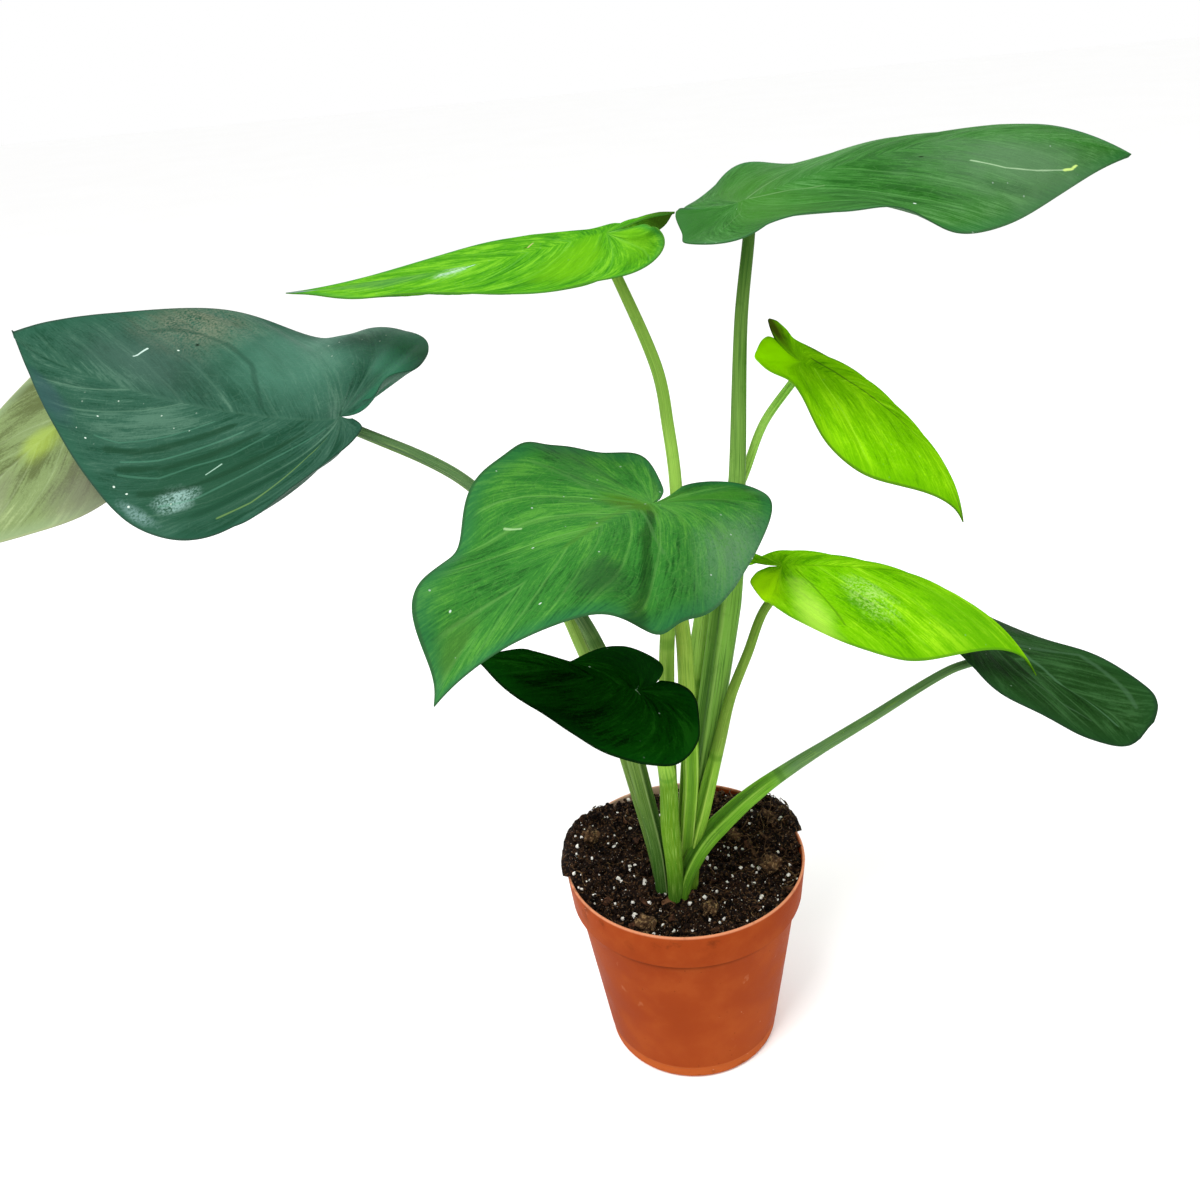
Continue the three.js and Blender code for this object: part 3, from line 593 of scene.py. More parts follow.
def veinSpacing(leaf, half, place, out):
    # how many millimetres one side vein lies from the next
    step = 1e-3
    here, phase = np.stack(flatBlade(leaf, half, place, out)[:2]), veinPhase(leaf, place, out)
    alongRow = (np.stack(flatBlade(leaf, half, np.minimum(place + step, 1), out)[:2]) - here) / step
    acrossRow = (np.stack(flatBlade(leaf, half, place, out + step)[:2]) - here) / step
    rise = (veinPhase(leaf, place + step, out) - phase) / step
    lean = (veinPhase(leaf, place, out + step) - phase) / step
    area = alongRow[0] * acrossRow[1] - alongRow[1] * acrossRow[0]
    area = np.where(np.abs(area) < 1e-6, 1e-6, area)
    slopeX = (rise * acrossRow[1] - lean * alongRow[1]) / area
    slopeY = (lean * alongRow[0] - rise * acrossRow[0]) / area
    return np.clip(1 / np.maximum(np.hypot(slopeX, slopeY), 1e-6), 0, 40)


def addBlade(name, leaf):
    form = bladeForm
    blade, sideways, place = addSheet("leaf_" + name, 2 * form["columns"], form["rows"])
    place = np.clip(place, 0, 1)
    out = np.clip(np.abs(sideways), 0, 1)
    points = np.zeros((len(out), 3))
    spacing, rib, edge, strength = (np.zeros(len(out)) for _ in range(4))
    phase = veinPhase(leaf, place, out)
    for half, mine in enumerate((sideways <= 0, sideways > 0)):
        at = place[mine], out[mine]
        points[mine] = bladeHalf(leaf, half, *at)
        spacing[mine] = veinSpacing(leaf, half, *at)
        along, across, margin, midrib = flatBlade(leaf, half, *at)
        rib[mine] = np.where(along > 0, across, np.hypot(along, across))
        edge[mine] = (1 - out[mine]) * np.hypot(margin[:, 0] - midrib, margin[:, 1])
        strength[mine] = veinStrength(leaf, half, phase[mine])
    fromVein = np.abs(phase - np.round(phase)) * spacing
    atEdge = np.clip(edge / 9, 0, 1)
    relief = -leaf["sink"] * strength * np.exp(-((fromVein / 1.6) ** 2)) * atEdge * np.clip(rib / 6, 0, 1)
    swell = atEdge * np.clip(rib / 18, 0, 1) * np.clip(spacing / 11, 0, 1)
    relief += leaf["pillow"] * np.sin(np.pi * phase) ** 2 * swell
    relief -= leaf["sink"] * leaf["ribShow"] * np.exp(-((rib / 1.8) ** 2))
    placePoints(blade, points)
    for label, values in zip(("relief", *keptFields), (relief, spacing, rib, edge, strength)):
        keepValue(blade, label, values)
    weld(blade)
    placePoints(blade, meshPoints(blade) + pointNormals(blade) * readValue(blade, "relief")[:, None])
    turn = leafFrame(leaf)
    placePoints(blade, np.array([(turn @ Vector(point)) * mm for point in meshPoints(blade)]))
    useModifier(blade, "SOLIDIFY", thickness=form["thickness"] * mm, offset=0, material_offset=1)
    smooth(blade, 50)
    return joinPieces("leaf_" + name, [blade, addRib(name, leaf)])


def addRib(name, leaf):
    # the raised midrib along the blade's underside, thick at the stalk and fading out towards the tip
    form = bladeForm
    share = np.linspace(0.002, 0.9, 40)
    place = form["midribStart"] + (1 - form["midribStart"]) * share ** (1 / form["midribPower"])
    spine = bladeHalf(leaf, 0, place, np.zeros(len(place)))
    turn = leafFrame(leaf)
    down = turn.to_3x3() @ Vector((0, 0, -1))
    radii = form["ribRadius"] * (1 - share) ** 0.8 * min(1, leaf["length"] / 130) + 0.12
    path = [turn @ Vector(point) + down * (radius * 1.1) for point, radius in zip(spine, radii)]
    return addTube("rib_" + name, path, radii, 14, 60, roundSection, (0, 0, 1))


# Stalks

def curvePoints(path, count):
    # even steps along the smooth curve through a path, by the same centripetal formula as the solid's
    keys = np.array([tuple(point) for point in path], dtype=float)
    keys = np.vstack([2 * keys[0] - keys[1], keys, 2 * keys[-1] - keys[-2]])
    fine = []
    for k in range(1, len(keys) - 2):
        p0, p1, p2, p3 = keys[k - 1:k + 3]
        d0, d1, d2 = (math.sqrt(np.linalg.norm(b - a)) for a, b in ((p0, p1), (p1, p2), (p2, p3)))
        slope1 = ((p1 - p0) / d0 - (p2 - p0) / (d0 + d1) + (p2 - p1) / d1) * d1
        slope2 = ((p2 - p1) / d1 - (p3 - p1) / (d1 + d2) + (p3 - p2) / d2) * d1
        for part in np.linspace(0, 1, 30, endpoint=False):
            square = -3 * p1 + 3 * p2 - 2 * slope1 - slope2
            cubic = 2 * p1 - 2 * p2 + slope1 + slope2
            fine.append(p1 + slope1 * part + square * part ** 2 + cubic * part ** 3)
    fine = np.array(fine + [keys[-2]])
    length = np.concatenate([[0], np.cumsum(np.linalg.norm(np.diff(fine, axis=0), axis=1))])
    even = np.linspace(0, length[-1], count)
    return np.stack([np.interp(even, length, fine[:, axis]) for axis in range(3)], axis=1)


def roundSection(angle, share):
    return np.ones_like(angle)


def addTube(name, path, radii, around, along, section, opens):
    # a round tube; section gives the share of the radius at an angle from the side that opens names
    tube, sideways, share = addSheet(name, around, along)
    steps = np.unique(np.round(share, 5))
    centres = curvePoints(path, len(steps))
    opens = np.array(opens, dtype=float)
    tangents = np.gradient(centres, axis=0)
    tangents /= np.linalg.norm(tangents, axis=1)[:, None]
    first = opens - tangents * (tangents @ opens)[:, None]
    first /= np.linalg.norm(first, axis=1)[:, None]
    second = np.cross(tangents, first)
    row = np.searchsorted(steps, np.round(share, 5) - 1e-6)
    thick = np.interp(share, np.linspace(0, 1, len(radii)), radii)
    angle = math.pi * sideways
    thick = thick * section(angle, share) * mm
    thick[(row == 0) | (row == len(steps) - 1)] = 0
    radial = np.cos(angle)[:, None] * first[row] + np.sin(angle)[:, None] * second[row]
    placePoints(tube, centres[row] * mm + radial * thick[:, None])
    weld(tube)
    return smooth(tube)


stalkForm = {"around": 48, "along": 220, "edge": 0.16, "ribs": 13, "ribDepth": 0.012}

# path and radii of each stalk; opens is the direction its sheath opens to, and sheath the share of its
# length that the sheath takes
stalkTones = "foot low high tip stripe edge"
stalks = {
    "top": {
        "path": [(-2, -9, 84), (2, -11, 125), (9, -10, 162), (17, -8, 205), (28.5, -2, 272),
                 (32.5, 4, 307), (37, 11, 374)],
        "radii": (4.2, 5.4, 6.5, 6.9, 4, 3.1, 2.5), "opens": (-1, -0.6, 0.3), "sheath": 0.58,
        "tones": "4f7a22 77a843 6c9340 2c5519 2c5a1c 93bb5c",
    },
    "upper_left": {
        "path": [(-8, -10, 84), (-6, -10, 150), (-5, -8, 200), (-1, -1, 245), (5.5, 6, 279),
                 (6.5, 11, 307), (5, 16, 330), (2, 19, 354)],
        "radii": (3.2, 3.5, 3.8, 3.7, 3, 2.8, 2.3), "opens": (0.5, -1, 0.2), "sheath": 0.45,
        "tones": "6a8a34 93b84c 98c452 7a9c38 5d8c2c b4d26c",
    },
    "upper_right": {
        "path": [(-2, -4, 84), (1, -3, 129), (6, -1, 175), (12, 3, 225), (23, 8, 277), (37.5, 13, 307),
                 (47, 18, 327)],
        "radii": (3.2, 3.6, 4.2, 4.4, 3, 2.1, 2), "opens": (-1, -1, 0.2), "sheath": 0.45,
        "tones": "6a8a34 84b03c a2cf5c a4d460 5d8c2c c0e088",
    },
    "front": {
        "path": [(-5, -17, 84), (0, -18, 130), (4, -19, 172), (4, -21, 218), (3, -24, 255), (-2, -28, 286)],
        "radii": (3.4, 3.8, 4, 4, 3.3, 2.3), "opens": (0, -1, 0), "sheath": 0.5,
        "tones": "5a8020 7cb02c 86a63e 7ca040 4c8022 b4d668",
    },
    "right": {
        "path": [(0, -17, 84), (3, -18, 125), (10, -19, 156), (18, -18, 188), (24, -16, 210),
                 (33, -12, 230), (41, -9, 249)],
        "radii": (3.6, 4, 4, 3.3, 2.6, 2.3, 2.1), "opens": (-1, -0.8, 0.4), "sheath": 0.5,
        "tones": "649024 7cac34 749339 6c8234 4c7e20 b0d25c",
    },
    "far_right": {
        "path": [(-6, -25, 84), (-2, -24, 113), (8, -21, 132), (23, -17, 146), (38, -13, 156),
                 (55, -9, 165), (92, -2, 182.5), (130, 3, 202)],
        "radii": (3.4, 4.4, 5.2, 4, 2.9, 2.6, 2.3, 2.1), "opens": (-0.5, -0.3, 1), "sheath": 0.46,
        "tones": "4c8018 66a026 5c7d50 4b6c49 3c6424 9cc850",
    },
    "low": {
        "path": [(-8, -25, 84), (-7, -27, 120), (-8, -29, 150), (-8, -34, 184), (-12, -41, 207)],
        "radii": (3.4, 4.2, 4.6, 4.2, 3, 2.2), "opens": (0.6, 1, 0), "sheath": 0.6,
        "tones": "2f6010 5a8418 88b440 6c9838 4c8420 b8dc6c",
    },
    "left": {
        "path": [(-12, -19, 84), (-14, -18, 128), (-19, -15, 163), (-26, -10, 205), (-34, -5, 236),
                 (-43, -1, 256), (-63, 6, 287), (-83, 12, 313), (-106, 17, 328)],
        "radii": (3.8, 4.4, 4.4, 4, 3.2, 2.5, 2.2, 2), "opens": (1, -0.5, 0.3), "sheath": 0.5,
        "tones": "2c5414 6c8c3c 4a6841 3a5636 2f5420 a0bc74",
    },
    "pale": {
        "path": [(-12, -11, 84), (-15, -9, 115), (-22, -8, 158), (-31, -4, 202), (-41, 1, 233),
                 (-49, 7, 256), (-63.5, 14, 285.5), (-87, 21, 312.5), (-123, 27, 333), (-150, 42, 339),
                 (-195, 61, 331), (-230, 74, 337)],
        "radii": (3, 3.4, 3.4, 3.2, 3, 2.6, 2.2, 2), "opens": (1, 0, 0.3), "sheath": 0.4,
        "tones": "486828 84a84a 5a7a44 6c8054 4c6a28 b2c87c",
    },
}



def stalkSection(sheath):
    form = stalkForm

    def section(angle, share):
        # a channel between two thin edges along the sheath, and fine ribs all round
        strength = 1 - np.clip((share - sheath + 0.08) / 0.12, 0, 1)
        strength = strength * strength * (3 - 2 * strength)
        side = np.abs(angle)
        channel = -0.3 * np.exp(-((side / 0.42) ** 2))
        edges = form["edge"] * np.exp(-(((side - 0.72) / 0.16) ** 2))
        ribs = form["ribDepth"] * np.cos(form["ribs"] * angle)
        flat = (1 - strength) * 0.06 * np.exp(-((side / 0.5) ** 2))
        return 0.93 + strength * (channel + edges) + ribs - flat

    return section


def addStalk(name, look):
    leaf = leaves[name]
    turn = leafFrame(leaf)
    reach, drop = leaf.get("seat", (bladeForm["stalkReach"], bladeForm["stalkDrop"]))
    seat = turn @ Vector((reach, 0, -0.1))
    below = seat - turn.to_3x3() @ Vector((0, 0, drop))
    path = [*look["path"], tuple(below), tuple(seat)]
    size = stalkForm["around"], stalkForm["along"]
    return addTube("stalk_" + name, path, look["radii"], *size, stalkSection(look["sheath"]), look["opens"])


# Leaf and stalk finishes

def wholePatch(row):
    # a patch with the extras that its row leaves out
    return (*row, *patchExtras[len(row) - 6:])


def patchMask(finish, u, place, oval, ragged, core):
    # an oval spot on the blade's plan with a ragged edge
    x, y, width, height = (value / 100 for value in oval)
    across, along = (u - x) / width, (place - y) / height
    return finish.fade((across * across + along * along) ** 0.5 + ragged, 1, core)


def lineDistance(across, along, points):
    # how many millimetres a place on the blade lies from a chain of points, or from a single one
    nearest = None
    for (startX, startY), (endX, endY) in zip(points, points[1:] or points):
        x, y = across - startX, along - startY
        stepX, stepY = endX - startX, endY - startY
        square = stepX ** 2 + stepY ** 2
        if square:
            share = ((x * stepX + y * stepY) / square).clamped()
            x, y = x - share * stepX, y - share * stepY
        distance = (x * x + y * y) ** 0.5
        nearest = distance if nearest is None else nearest.calc("MINIMUM", distance)
    return nearest


def bladeFields(finish, leaf, drift=0.0):
    # what both faces of a blade are painted by: its plan, its veins and the distances kept on its points
    u, place = finish.plan()
    out = (u * 2 - 1).size()
    spacing, rib, edge, strength = (finish.value(label) for label in keptFields)
    phase = veinPhase(leaf, place, out, Tone.larger) + drift
    return u, place, out, phase, (phase - phase.calc("ROUND")).size() * spacing, rib, edge, strength


def leafFinish(name, leaf, seed):
    shine = {"Specular IOR Level": leaf["shine"], "Coat Roughness": 0.22, "Coat IOR": 1.35}
    finish = Finish("leafTop_" + name, shine)
    drift = (finish.noise(45, 2) - 0.5) * 0.18
    u, place, out, phase, fromVein, rib, edge, strength = bladeFields(finish, leaf, drift)
    half = u.calc("GREATER_THAN", 0.5)
    shift = half * 5 + seed
    broad = finish.noise(17, 2)
    patches = finish.noise(75, 4, 0.6)
    grain = finish.noise(900, 3, 0.6)
    bands = finish.noise(1, 2, 0.5, finish.point(phase * 0.85, out * 1.3, shift))
    streaks = finish.noise(1, 3, 0.6, finish.point(phase * 4.2, out * 2.6, shift))
    fineStreaks = finish.noise(1, 3, 0.65, finish.point(phase * 17, out * 7, shift))
    mesh = finish.cells(1, finish.point(phase * 4, out * 22, shift), "DISTANCE_TO_EDGE")
    edgeFade = finish.fade(edge, 1.5, 9)
    halo = finish.fade(fromVein, 4.5, 0.2) * edgeFade * strength
    midrib = finish.fade(rib, 1.2, 0.3) * leaf["ribShow"]
    vein = finish.fade(fromVein, 0.8, 0.1) * edgeFade * strength
    vein = vein * finish.fade(half, 0, 1, *leaf.get("veinSides", (1, 1)))
    net = finish.fade(mesh, 0.06, 0.0) * edgeFade * finish.fade(rib, 0.5, 3)
    tone = (broad - 0.5) * leaf["cloud"] + (bands - 0.5) * leaf["bands"] + (streaks - 0.5) * leaf["streaks"]
    tone = tone + (fineStreaks - 0.5) * leaf["fine"] + (grain - 0.5) * 0.4 + halo * leaf["halo"] + 0.5
    base = finish.layers(
        leaf["deep"], (finish.fade(tone, 0.1, 0.5), leaf["main"]),
        (finish.fade(tone, 0.5, 0.95), leaf["light"]),
        (net * leaf["net"], leaf["vein"]), ((vein + midrib).clamped() * leaf["veinShow"], leaf["vein"]),
        (finish.fade(edge, 8, 0.5) * 0.5, leaf["margin"]), (finish.fade(edge, 1.3, 0.5) * 0.75, leaf["rim"]))
    coat = finish.fade(broad, 0.3, 0.7, 0.5, 1) * leaf["coat"]
    rough = finish.fade(patches, 0.2, 0.8, leaf["rough"] - 0.06, leaf["rough"] + 0.1)
    raggedness = patches * 0.6 + streaks * 0.4 - 0.5
    for *oval, tone, share, ragged, core, speckle, gloss in map(wholePatch, leaf.get("patches", [])):
        mask = patchMask(finish, u, place, oval, raggedness * ragged, core) * share
        if speckle:
            mask = mask * finish.fade(grain * 0.6 + patches * 0.4, 0.45 - speckle, 0.6)
        base = finish.mix(mask, base, tone)
        coat = coat + mask * gloss
    width, length = leaf["halfWidth"] * 2, leaf["length"] * 1.7
    across, along = u * width, place * length
    for tone, thick, share, *path in leaf.get("strokes", []):
        distance = lineDistance(across, along, [(x / 100 * width, y / 100 * length) for x, y in path])
        line = finish.fade(distance + (streaks + patches - 1) * thick, thick, thick * 0.2) * share
        base = finish.mix(line, base, tone)
    for x, y in leaf.get("dots", []):
        distance = lineDistance(across, along, [(x / 100 * width, y / 100 * length)])
        base = finish.mix(finish.fade(distance, 0.65, 0.3), base, "b4c4b8")
    speck = finish.fade(finish.cells(150), 0.075, 0.05) * finish.fade(broad, 0.5, 0.56)
    base = finish.mix(speck * leaf["specks"], base, "94a698")
    height = (1 - vein * 0.7 - midrib * 0.4 - net * 0.5) * 0.35 + grain * 0.05
    normal = finish.bump(height + patches * 0.3 + fineStreaks * 0.3, 0.4, 0.0012)
    return finish.feed(Base_Color=base, Roughness=rough, Coat_Weight=coat.clamped(), Normal=normal)


def undersideFinish(name, leaf, seed):
    finish = Finish("leafUnder_" + name, {"Specular IOR Level": 0.0})
    u, place, out, phase, fromVein, rib, edge, strength = bladeFields(finish, leaf)
    inside = finish.fade(edge, 1, 7)
    vein = finish.fade(fromVein, 0.9, 0.2) * inside * strength
    mesh = finish.cells(1, finish.point(phase * 4, out * 22, seed), "DISTANCE_TO_EDGE")
    net = finish.fade(mesh, 0.08, 0.0) * inside
    mottle = finish.noise(90, 4, 0.6)
    base = finish.layers(
        leaf["under"], (finish.fade(mottle, 0.3, 0.7) * 0.3, leaf["main"]), (net * 0.15, leaf["main"]),
        ((vein + finish.fade(rib, 2, 0.6)).clamped() * 0.35, leaf["vein"]))
    height = vein * 0.7 + net * 0.2 + finish.noise(900, 2) * 0.1
    rough = finish.fade(mottle, 0.2, 0.8, 0.5, 0.65)
    return finish.feed(Base_Color=base, Roughness=rough, Normal=finish.bump(height, 0.5, 0.001))


def stalkFinish(name, look, sheath):
    tones = dict(byColumn(stalkTones, look["tones"]))
    finish = Finish("stalkSkin_" + name, {"Specular IOR Level": 0.02, "Coat Roughness": 0.25})
    u, share = finish.plan()
    turnShare = (u * 2 - 1).size()
    mottle = finish.noise(140, 4, 0.6)
    streaks = finish.noise(1, 3, 0.55, finish.point(u * 60, share * 9, 0.0))
    fineStreaks = finish.noise(1, 2, 0.5, finish.point(u * 160, share * 14, 3.0))
    inSheath = finish.fade(share, sheath + 0.02, sheath - 0.08)
    lip = finish.fade((turnShare - 0.23).size(), 0.05, 0.015) * inSheath
    channel = finish.fade(turnShare, 0.2, 0.08) * inSheath
    collar = finish.fade((share - sheath).size(), 0.012, 0.003)
    specks = finish.fade(finish.cells(420), 0.16, 0.06) * finish.fade(mottle, 0.5, 0.62)
    base = finish.layers(
        tones["foot"], (finish.fade(share, 0.08, 0.38), tones["low"]),
        (finish.fade(share, sheath - 0.04, sheath + 0.05), tones["high"]),
        (finish.fade(share, 0.82, 1.0), tones["tip"]),
        (finish.fade(streaks, 0.46, 0.66) * 0.7, tones["stripe"]),
        (finish.fade(fineStreaks, 0.5, 0.7) * 0.4, tones["edge"]), (channel * 0.55, tones["stripe"]),
        (lip * 0.5, tones["edge"]), (collar * 0.5, tones["stripe"]),
        (finish.fade(mottle, 0.55, 0.75) * 0.25, tones["stripe"]), (specks * 0.4, tones["edge"]))
    normal = finish.bump(streaks * 0.5 + fineStreaks * 0.25 + mottle * 0.2, 0.35, 0.001)
    rough = finish.fade(mottle, 0.2, 0.8, 0.34, 0.5)
    coat = finish.fade(streaks, 0.3, 0.7, 0.0, 0.03)
    return finish.feed(Base_Color=base, Roughness=rough, Coat_Weight=coat, Normal=normal)


# Pot

pot = {
    # radius and height of the wall: the outside, from the ring in the floor to the lip, then the inside
    "profile": [
        (23, 0), (24.5, 2.5), (35.5, 2.5), (37, 0), (42.5, 0), (44, 1.5), (44.3, 7), (44.9, 7.9), (55.8, 90),
        (58.4, 90), (60, 109.35), (59.675, 110), (59.025, 110), (58.7, 109.35), (57.1, 91.3), (54.5, 88.5),
        (42.7, 3.1), (41.2, 1.6), (37.65, 1.6), (36.15, 4.1), (23.85, 4.1), (22.35, 1.6),
    ],
    "rim": 60, "height": 110, "segments": 160, "holes": 8, "holeRadius": 4.5, "holeCircle": 30,
}


def addPot():
    p = pot
    (radius, height), *others = p["profile"]
    deselectAll()
    bpy.ops.mesh.primitive_circle_add(vertices=p["segments"], radius=radius * mm, fill_type="NGON")
    piece = bpy.context.object
    bpy.ops.object.mode_set(mode="EDIT")
    bpy.ops.mesh.select_all(action="SELECT")
    bpy.ops.mesh.normals_make_consistent(inside=False)
    for nextRadius, nextHeight in others:
        rise, grow = (nextHeight - height) * mm, nextRadius / radius
        bpy.ops.mesh.extrude_region_move(TRANSFORM_OT_translate={"value": (0, 0, rise)})
        bpy.ops.transform.resize(value=(grow, grow, 1))
        radius, height = nextRadius, nextHeight
    bpy.ops.object.mode_set(mode="OBJECT")
    faceOut(piece)
    sharp = {"limit_method": "ANGLE", "angle_limit": math.radians(25)}
    useModifier(piece, "BEVEL", width=0.35 * mm, segments=3, **sharp)
    for k in range(p["holes"]):
        angle = k / p["holes"] * 2 * math.pi
        place = Vector((p["holeCircle"] * math.cos(angle), p["holeCircle"] * math.sin(angle), 3)) * mm
        radius = p["holeRadius"] * mm
        deselectAll()
        bpy.ops.mesh.primitive_cylinder_add(vertices=40, radius=radius, depth=16 * mm, location=place)
        drill = bpy.context.object
        useModifier(piece, "BOOLEAN", object=drill, operation="DIFFERENCE", solver="EXACT")
        bpy.data.objects.remove(drill)
    piece.name = "pot_shell"
    return smooth(setInPlace(piece), 35)


def potFinish():
    finish = Finish("potPlastic", {"Specular IOR Level": 0.006})
    place = finish.place()
    x, y, height = (finish.axis(place, name) for name in ("X", "Y", "Z"))
    broad = finish.noise(14, 3)
    cloud = finish.noise(55, 4, 0.6)
    grain = finish.noise(1500, 3, 0.6)
    # painted shade on the wall just under the band's ledge
    shadeUnderBand = finish.fade(height, 0.0845, 0.0895) * finish.fade(height, 0.0904, 0.0899)
    inside = finish.fade((x * x + y * y) ** 0.5, 0.0596, 0.0588)
    # paler inside the rim at the back left
    paleInnerRim = inside * finish.fade(y - x, 0.03, 0.055) * finish.fade(height, 0.098, 0.104)
    spilt = finish.fade(x, -0.044, -0.056) * finish.fade(height, 0.092, 0.104)
    scuffs = finish.node("Mapping", None, {0: place, "Rotation": (0.3, 0.5, 0.8), "Scale": (40, 300, 90)})
    scratch = finish.fade(finish.noise(1, 3, 0.5, scuffs), 0.68, 0.74)
    dirt = finish.fade(finish.noise(90, 5, 0.7), 0.55, 0.72) * finish.fade(height, 0.09, 0.112)
    low = finish.fade(finish.noise(160, 4, 0.65), 0.55, 0.72) * finish.fade(height, 0.02, 0.004)
    crumbs = finish.fade(finish.cells(260), 0.1, 0.05) * finish.fade(cloud, 0.52, 0.6)
    aside = finish.node("Mapping", None, {0: place, "Location": (3, 1, 2)})
    pale = finish.fade(finish.cells(190, aside), 0.06, 0.035) * finish.fade(broad, 0.5, 0.55)
    base = finish.layers(
        "8a3815", (finish.fade(broad, 0.3, 0.7), "97421b"), (finish.fade(cloud, 0.4, 0.75) * 0.4, "a35024"),
        # painted shade under the band's ledge, and a painted highlight along the foot
        (shadeUnderBand * 0.9, "401604"), (finish.fade(height, 0.0092, 0.0076) * 0.6, "b8602e"),
        # a painted highlight along the lip
        (finish.fade(height, 0.1085, 0.1098) * 0.85, "d08a66"),
        (paleInnerRim * finish.fade(cloud, 0.2, 0.45) * 0.8, "bca48e"),
        (spilt * finish.fade(cloud, 0.42, 0.55) * 0.7, "40220f"), (scratch * 0.3, "b87250"),
        ((dirt * 0.5 + low * 0.35).clamped(), "3c1a0c"), (crumbs * 0.8, "3c1408"), (pale * 0.7, "d8a888"))
    rings = (height * 9000).calc("SINE")
    normal = finish.bump(grain * 0.4 + cloud * 0.6 + rings * 0.02 + scratch * 0.2, 0.25, 0.0008)
    rough = finish.fade(cloud, 0.2, 0.8, 0.34, 0.52) + dirt * 0.3
    return finish.feed(Base_Color=base, Roughness=rough, Normal=normal)


# Soil

soil = {
    "level": 103.5, "reach": 63, "lump": 0.9, "lumpSize": 7, "edgeDrop": 2, "bottom": 4.5,
    "mounds": [(48, 22, 15, 22), (4, 44, 6, 26), (-40, 34, 9, 20), (-58, -2, 11, 16), (-55, 22, 8, 13),
               (-4, -14, 2, 14)],
    "rings": 150, "segments": 300, "sideShare": 0.14, "seed": 11,
    "wallHeights": (0, 88.5, 91.5, 110), "wallRadii": (42.5, 54.3, 56.9, 58.5),
    "clods": [(-47, 13), (42, -12), (27, 10), (-23, -45), (8, -38)],
}


def soilHeight(x, y):
    s = soil
    height = s["level"]
    for moundX, moundY, rise, spread in s["mounds"]:
        height = height + rise * np.exp(-((x - moundX) ** 2 + (y - moundY) ** 2) / spread ** 2)
    size = s["lumpSize"]
    height = height + s["lump"] * np.sin(x / size + 1.3) * np.cos(y / size * 1.2 - 0.4)
    return height + s["lump"] / 2 * np.sin((x + 2 * y) / size + 0.7) * np.cos((2 * x - y) / size)


def innerRadius(height):
    return np.interp(height, soil["wallHeights"], soil["wallRadii"])


def soilEdge(x, y):
    # the ground sinks a little where it meets the wall, and where it stands above the rim it spills over it
    height = soilHeight(x, y) - soil["edgeDrop"]
    over = height > pot["height"] + 0.6
    return np.where(over, soil["reach"], innerRadius(np.minimum(height, pot["height"]))), height


def roughGround(x, y, height):
    crumbs = [noise.fractal(Vector((px / 3.2, py / 3.2, 1.7)), 0.9, 2.1, 5) for px, py in zip(x, y)]
    clods = [noise.noise(Vector((px / 9, py / 9, 5.2))) for px, py in zip(x, y)]
    return height + 1.3 * np.array(crumbs) + 1.2 * np.array(clods)


def addSoil():
    s = soil
    bed, sideways, share = addSheet("soil_bed", s["segments"], s["rings"])
    cosines, sines = np.cos(math.pi * sideways), np.sin(math.pi * sideways)
    edge, edgeHeight = soilEdge(cosines * (pot["rim"] - 2), sines * (pot["rim"] - 2))
    onTop = share >= s["sideShare"]
    top = np.clip((share - s["sideShare"]) / (1 - s["sideShare"]), 0, 1)
    floor = innerRadius(s["bottom"]) * np.clip(share / (s["sideShare"] / 2), 0, 1)
    radius = np.where(onTop, edge * (1 - top), floor)
    x, y = radius * cosines, radius * sines
    height = soilHeight(x, y) - s["edgeDrop"] * np.clip((radius - edge + 6) / 6, 0, 1) ** 2
    height = roughGround(x, y, height)
    side = np.clip(share / (s["sideShare"] / 2) - 1, 0, 1)
    sideHeight = s["bottom"] + side * (np.minimum(edgeHeight, pot["height"]) - 1 - s["bottom"])
    radius = np.where(onTop | (side <= 0), radius, innerRadius(sideHeight))
    height = np.where(onTop, height, sideHeight)
    placePoints(bed, np.stack([radius * cosines, radius * sines, height], axis=1) * mm)
    weld(bed, 1e-5)
    faceOut(bed)
    return smooth(bed)


def groundAt(x, y):
    return float(roughGround([x], [y], soilHeight(np.array([x]), np.array([y])))[0])


def dropPlace(draw):
    reach = 57
    while True:
        x, y = draw.uniform(-reach, reach), draw.uniform(-reach, reach)
        if math.hypot(x, y) < reach:
            return x, y


def scatter(name, count, model, size, draw, chooser, sink):
    # copies of a small model, each with its own mesh, turned and sized at random and pressed into the ground
    parts = []
    for _ in range(count):
        x, y = chooser(draw)
        part = bpy.data.objects.new("part", model.data.copy())
        bpy.context.collection.objects.link(part)
        scale = draw.uniform(*size)
        stretch = Vector((draw.uniform(0.7, 1.3), draw.uniform(0.7, 1.3), draw.uniform(0.6, 1.1))) * scale
        turn = Matrix.Rotation(draw.uniform(0, 6.28), 4, "Z")
        tilt = Matrix.Rotation(draw.uniform(-1.2, 1.2), 4, "X")
        place = Matrix.Translation(Vector((x, y, groundAt(x, y) + scale * (0.5 - sink))) * mm)
        part.data.transform(place @ turn @ tilt @ Matrix.Diagonal((*stretch * mm, 1)))
        parts.append(part)
    bpy.data.objects.remove(model)
    return joinPieces(name, parts)


def addGrain(seed, subdivisions, roughness):
    # a small rounded grain, one unit across, knocked out of round by noise
    deselectAll()
    bpy.ops.mesh.primitive_ico_sphere_add(subdivisions=subdivisions, radius=0.5)
    grain = bpy.context.object
    for vertex in grain.data.vertices:
        vertex.co *= 1 + roughness * noise.noise(vertex.co * 3.1 + Vector((seed, 0, 0)))
    return grain


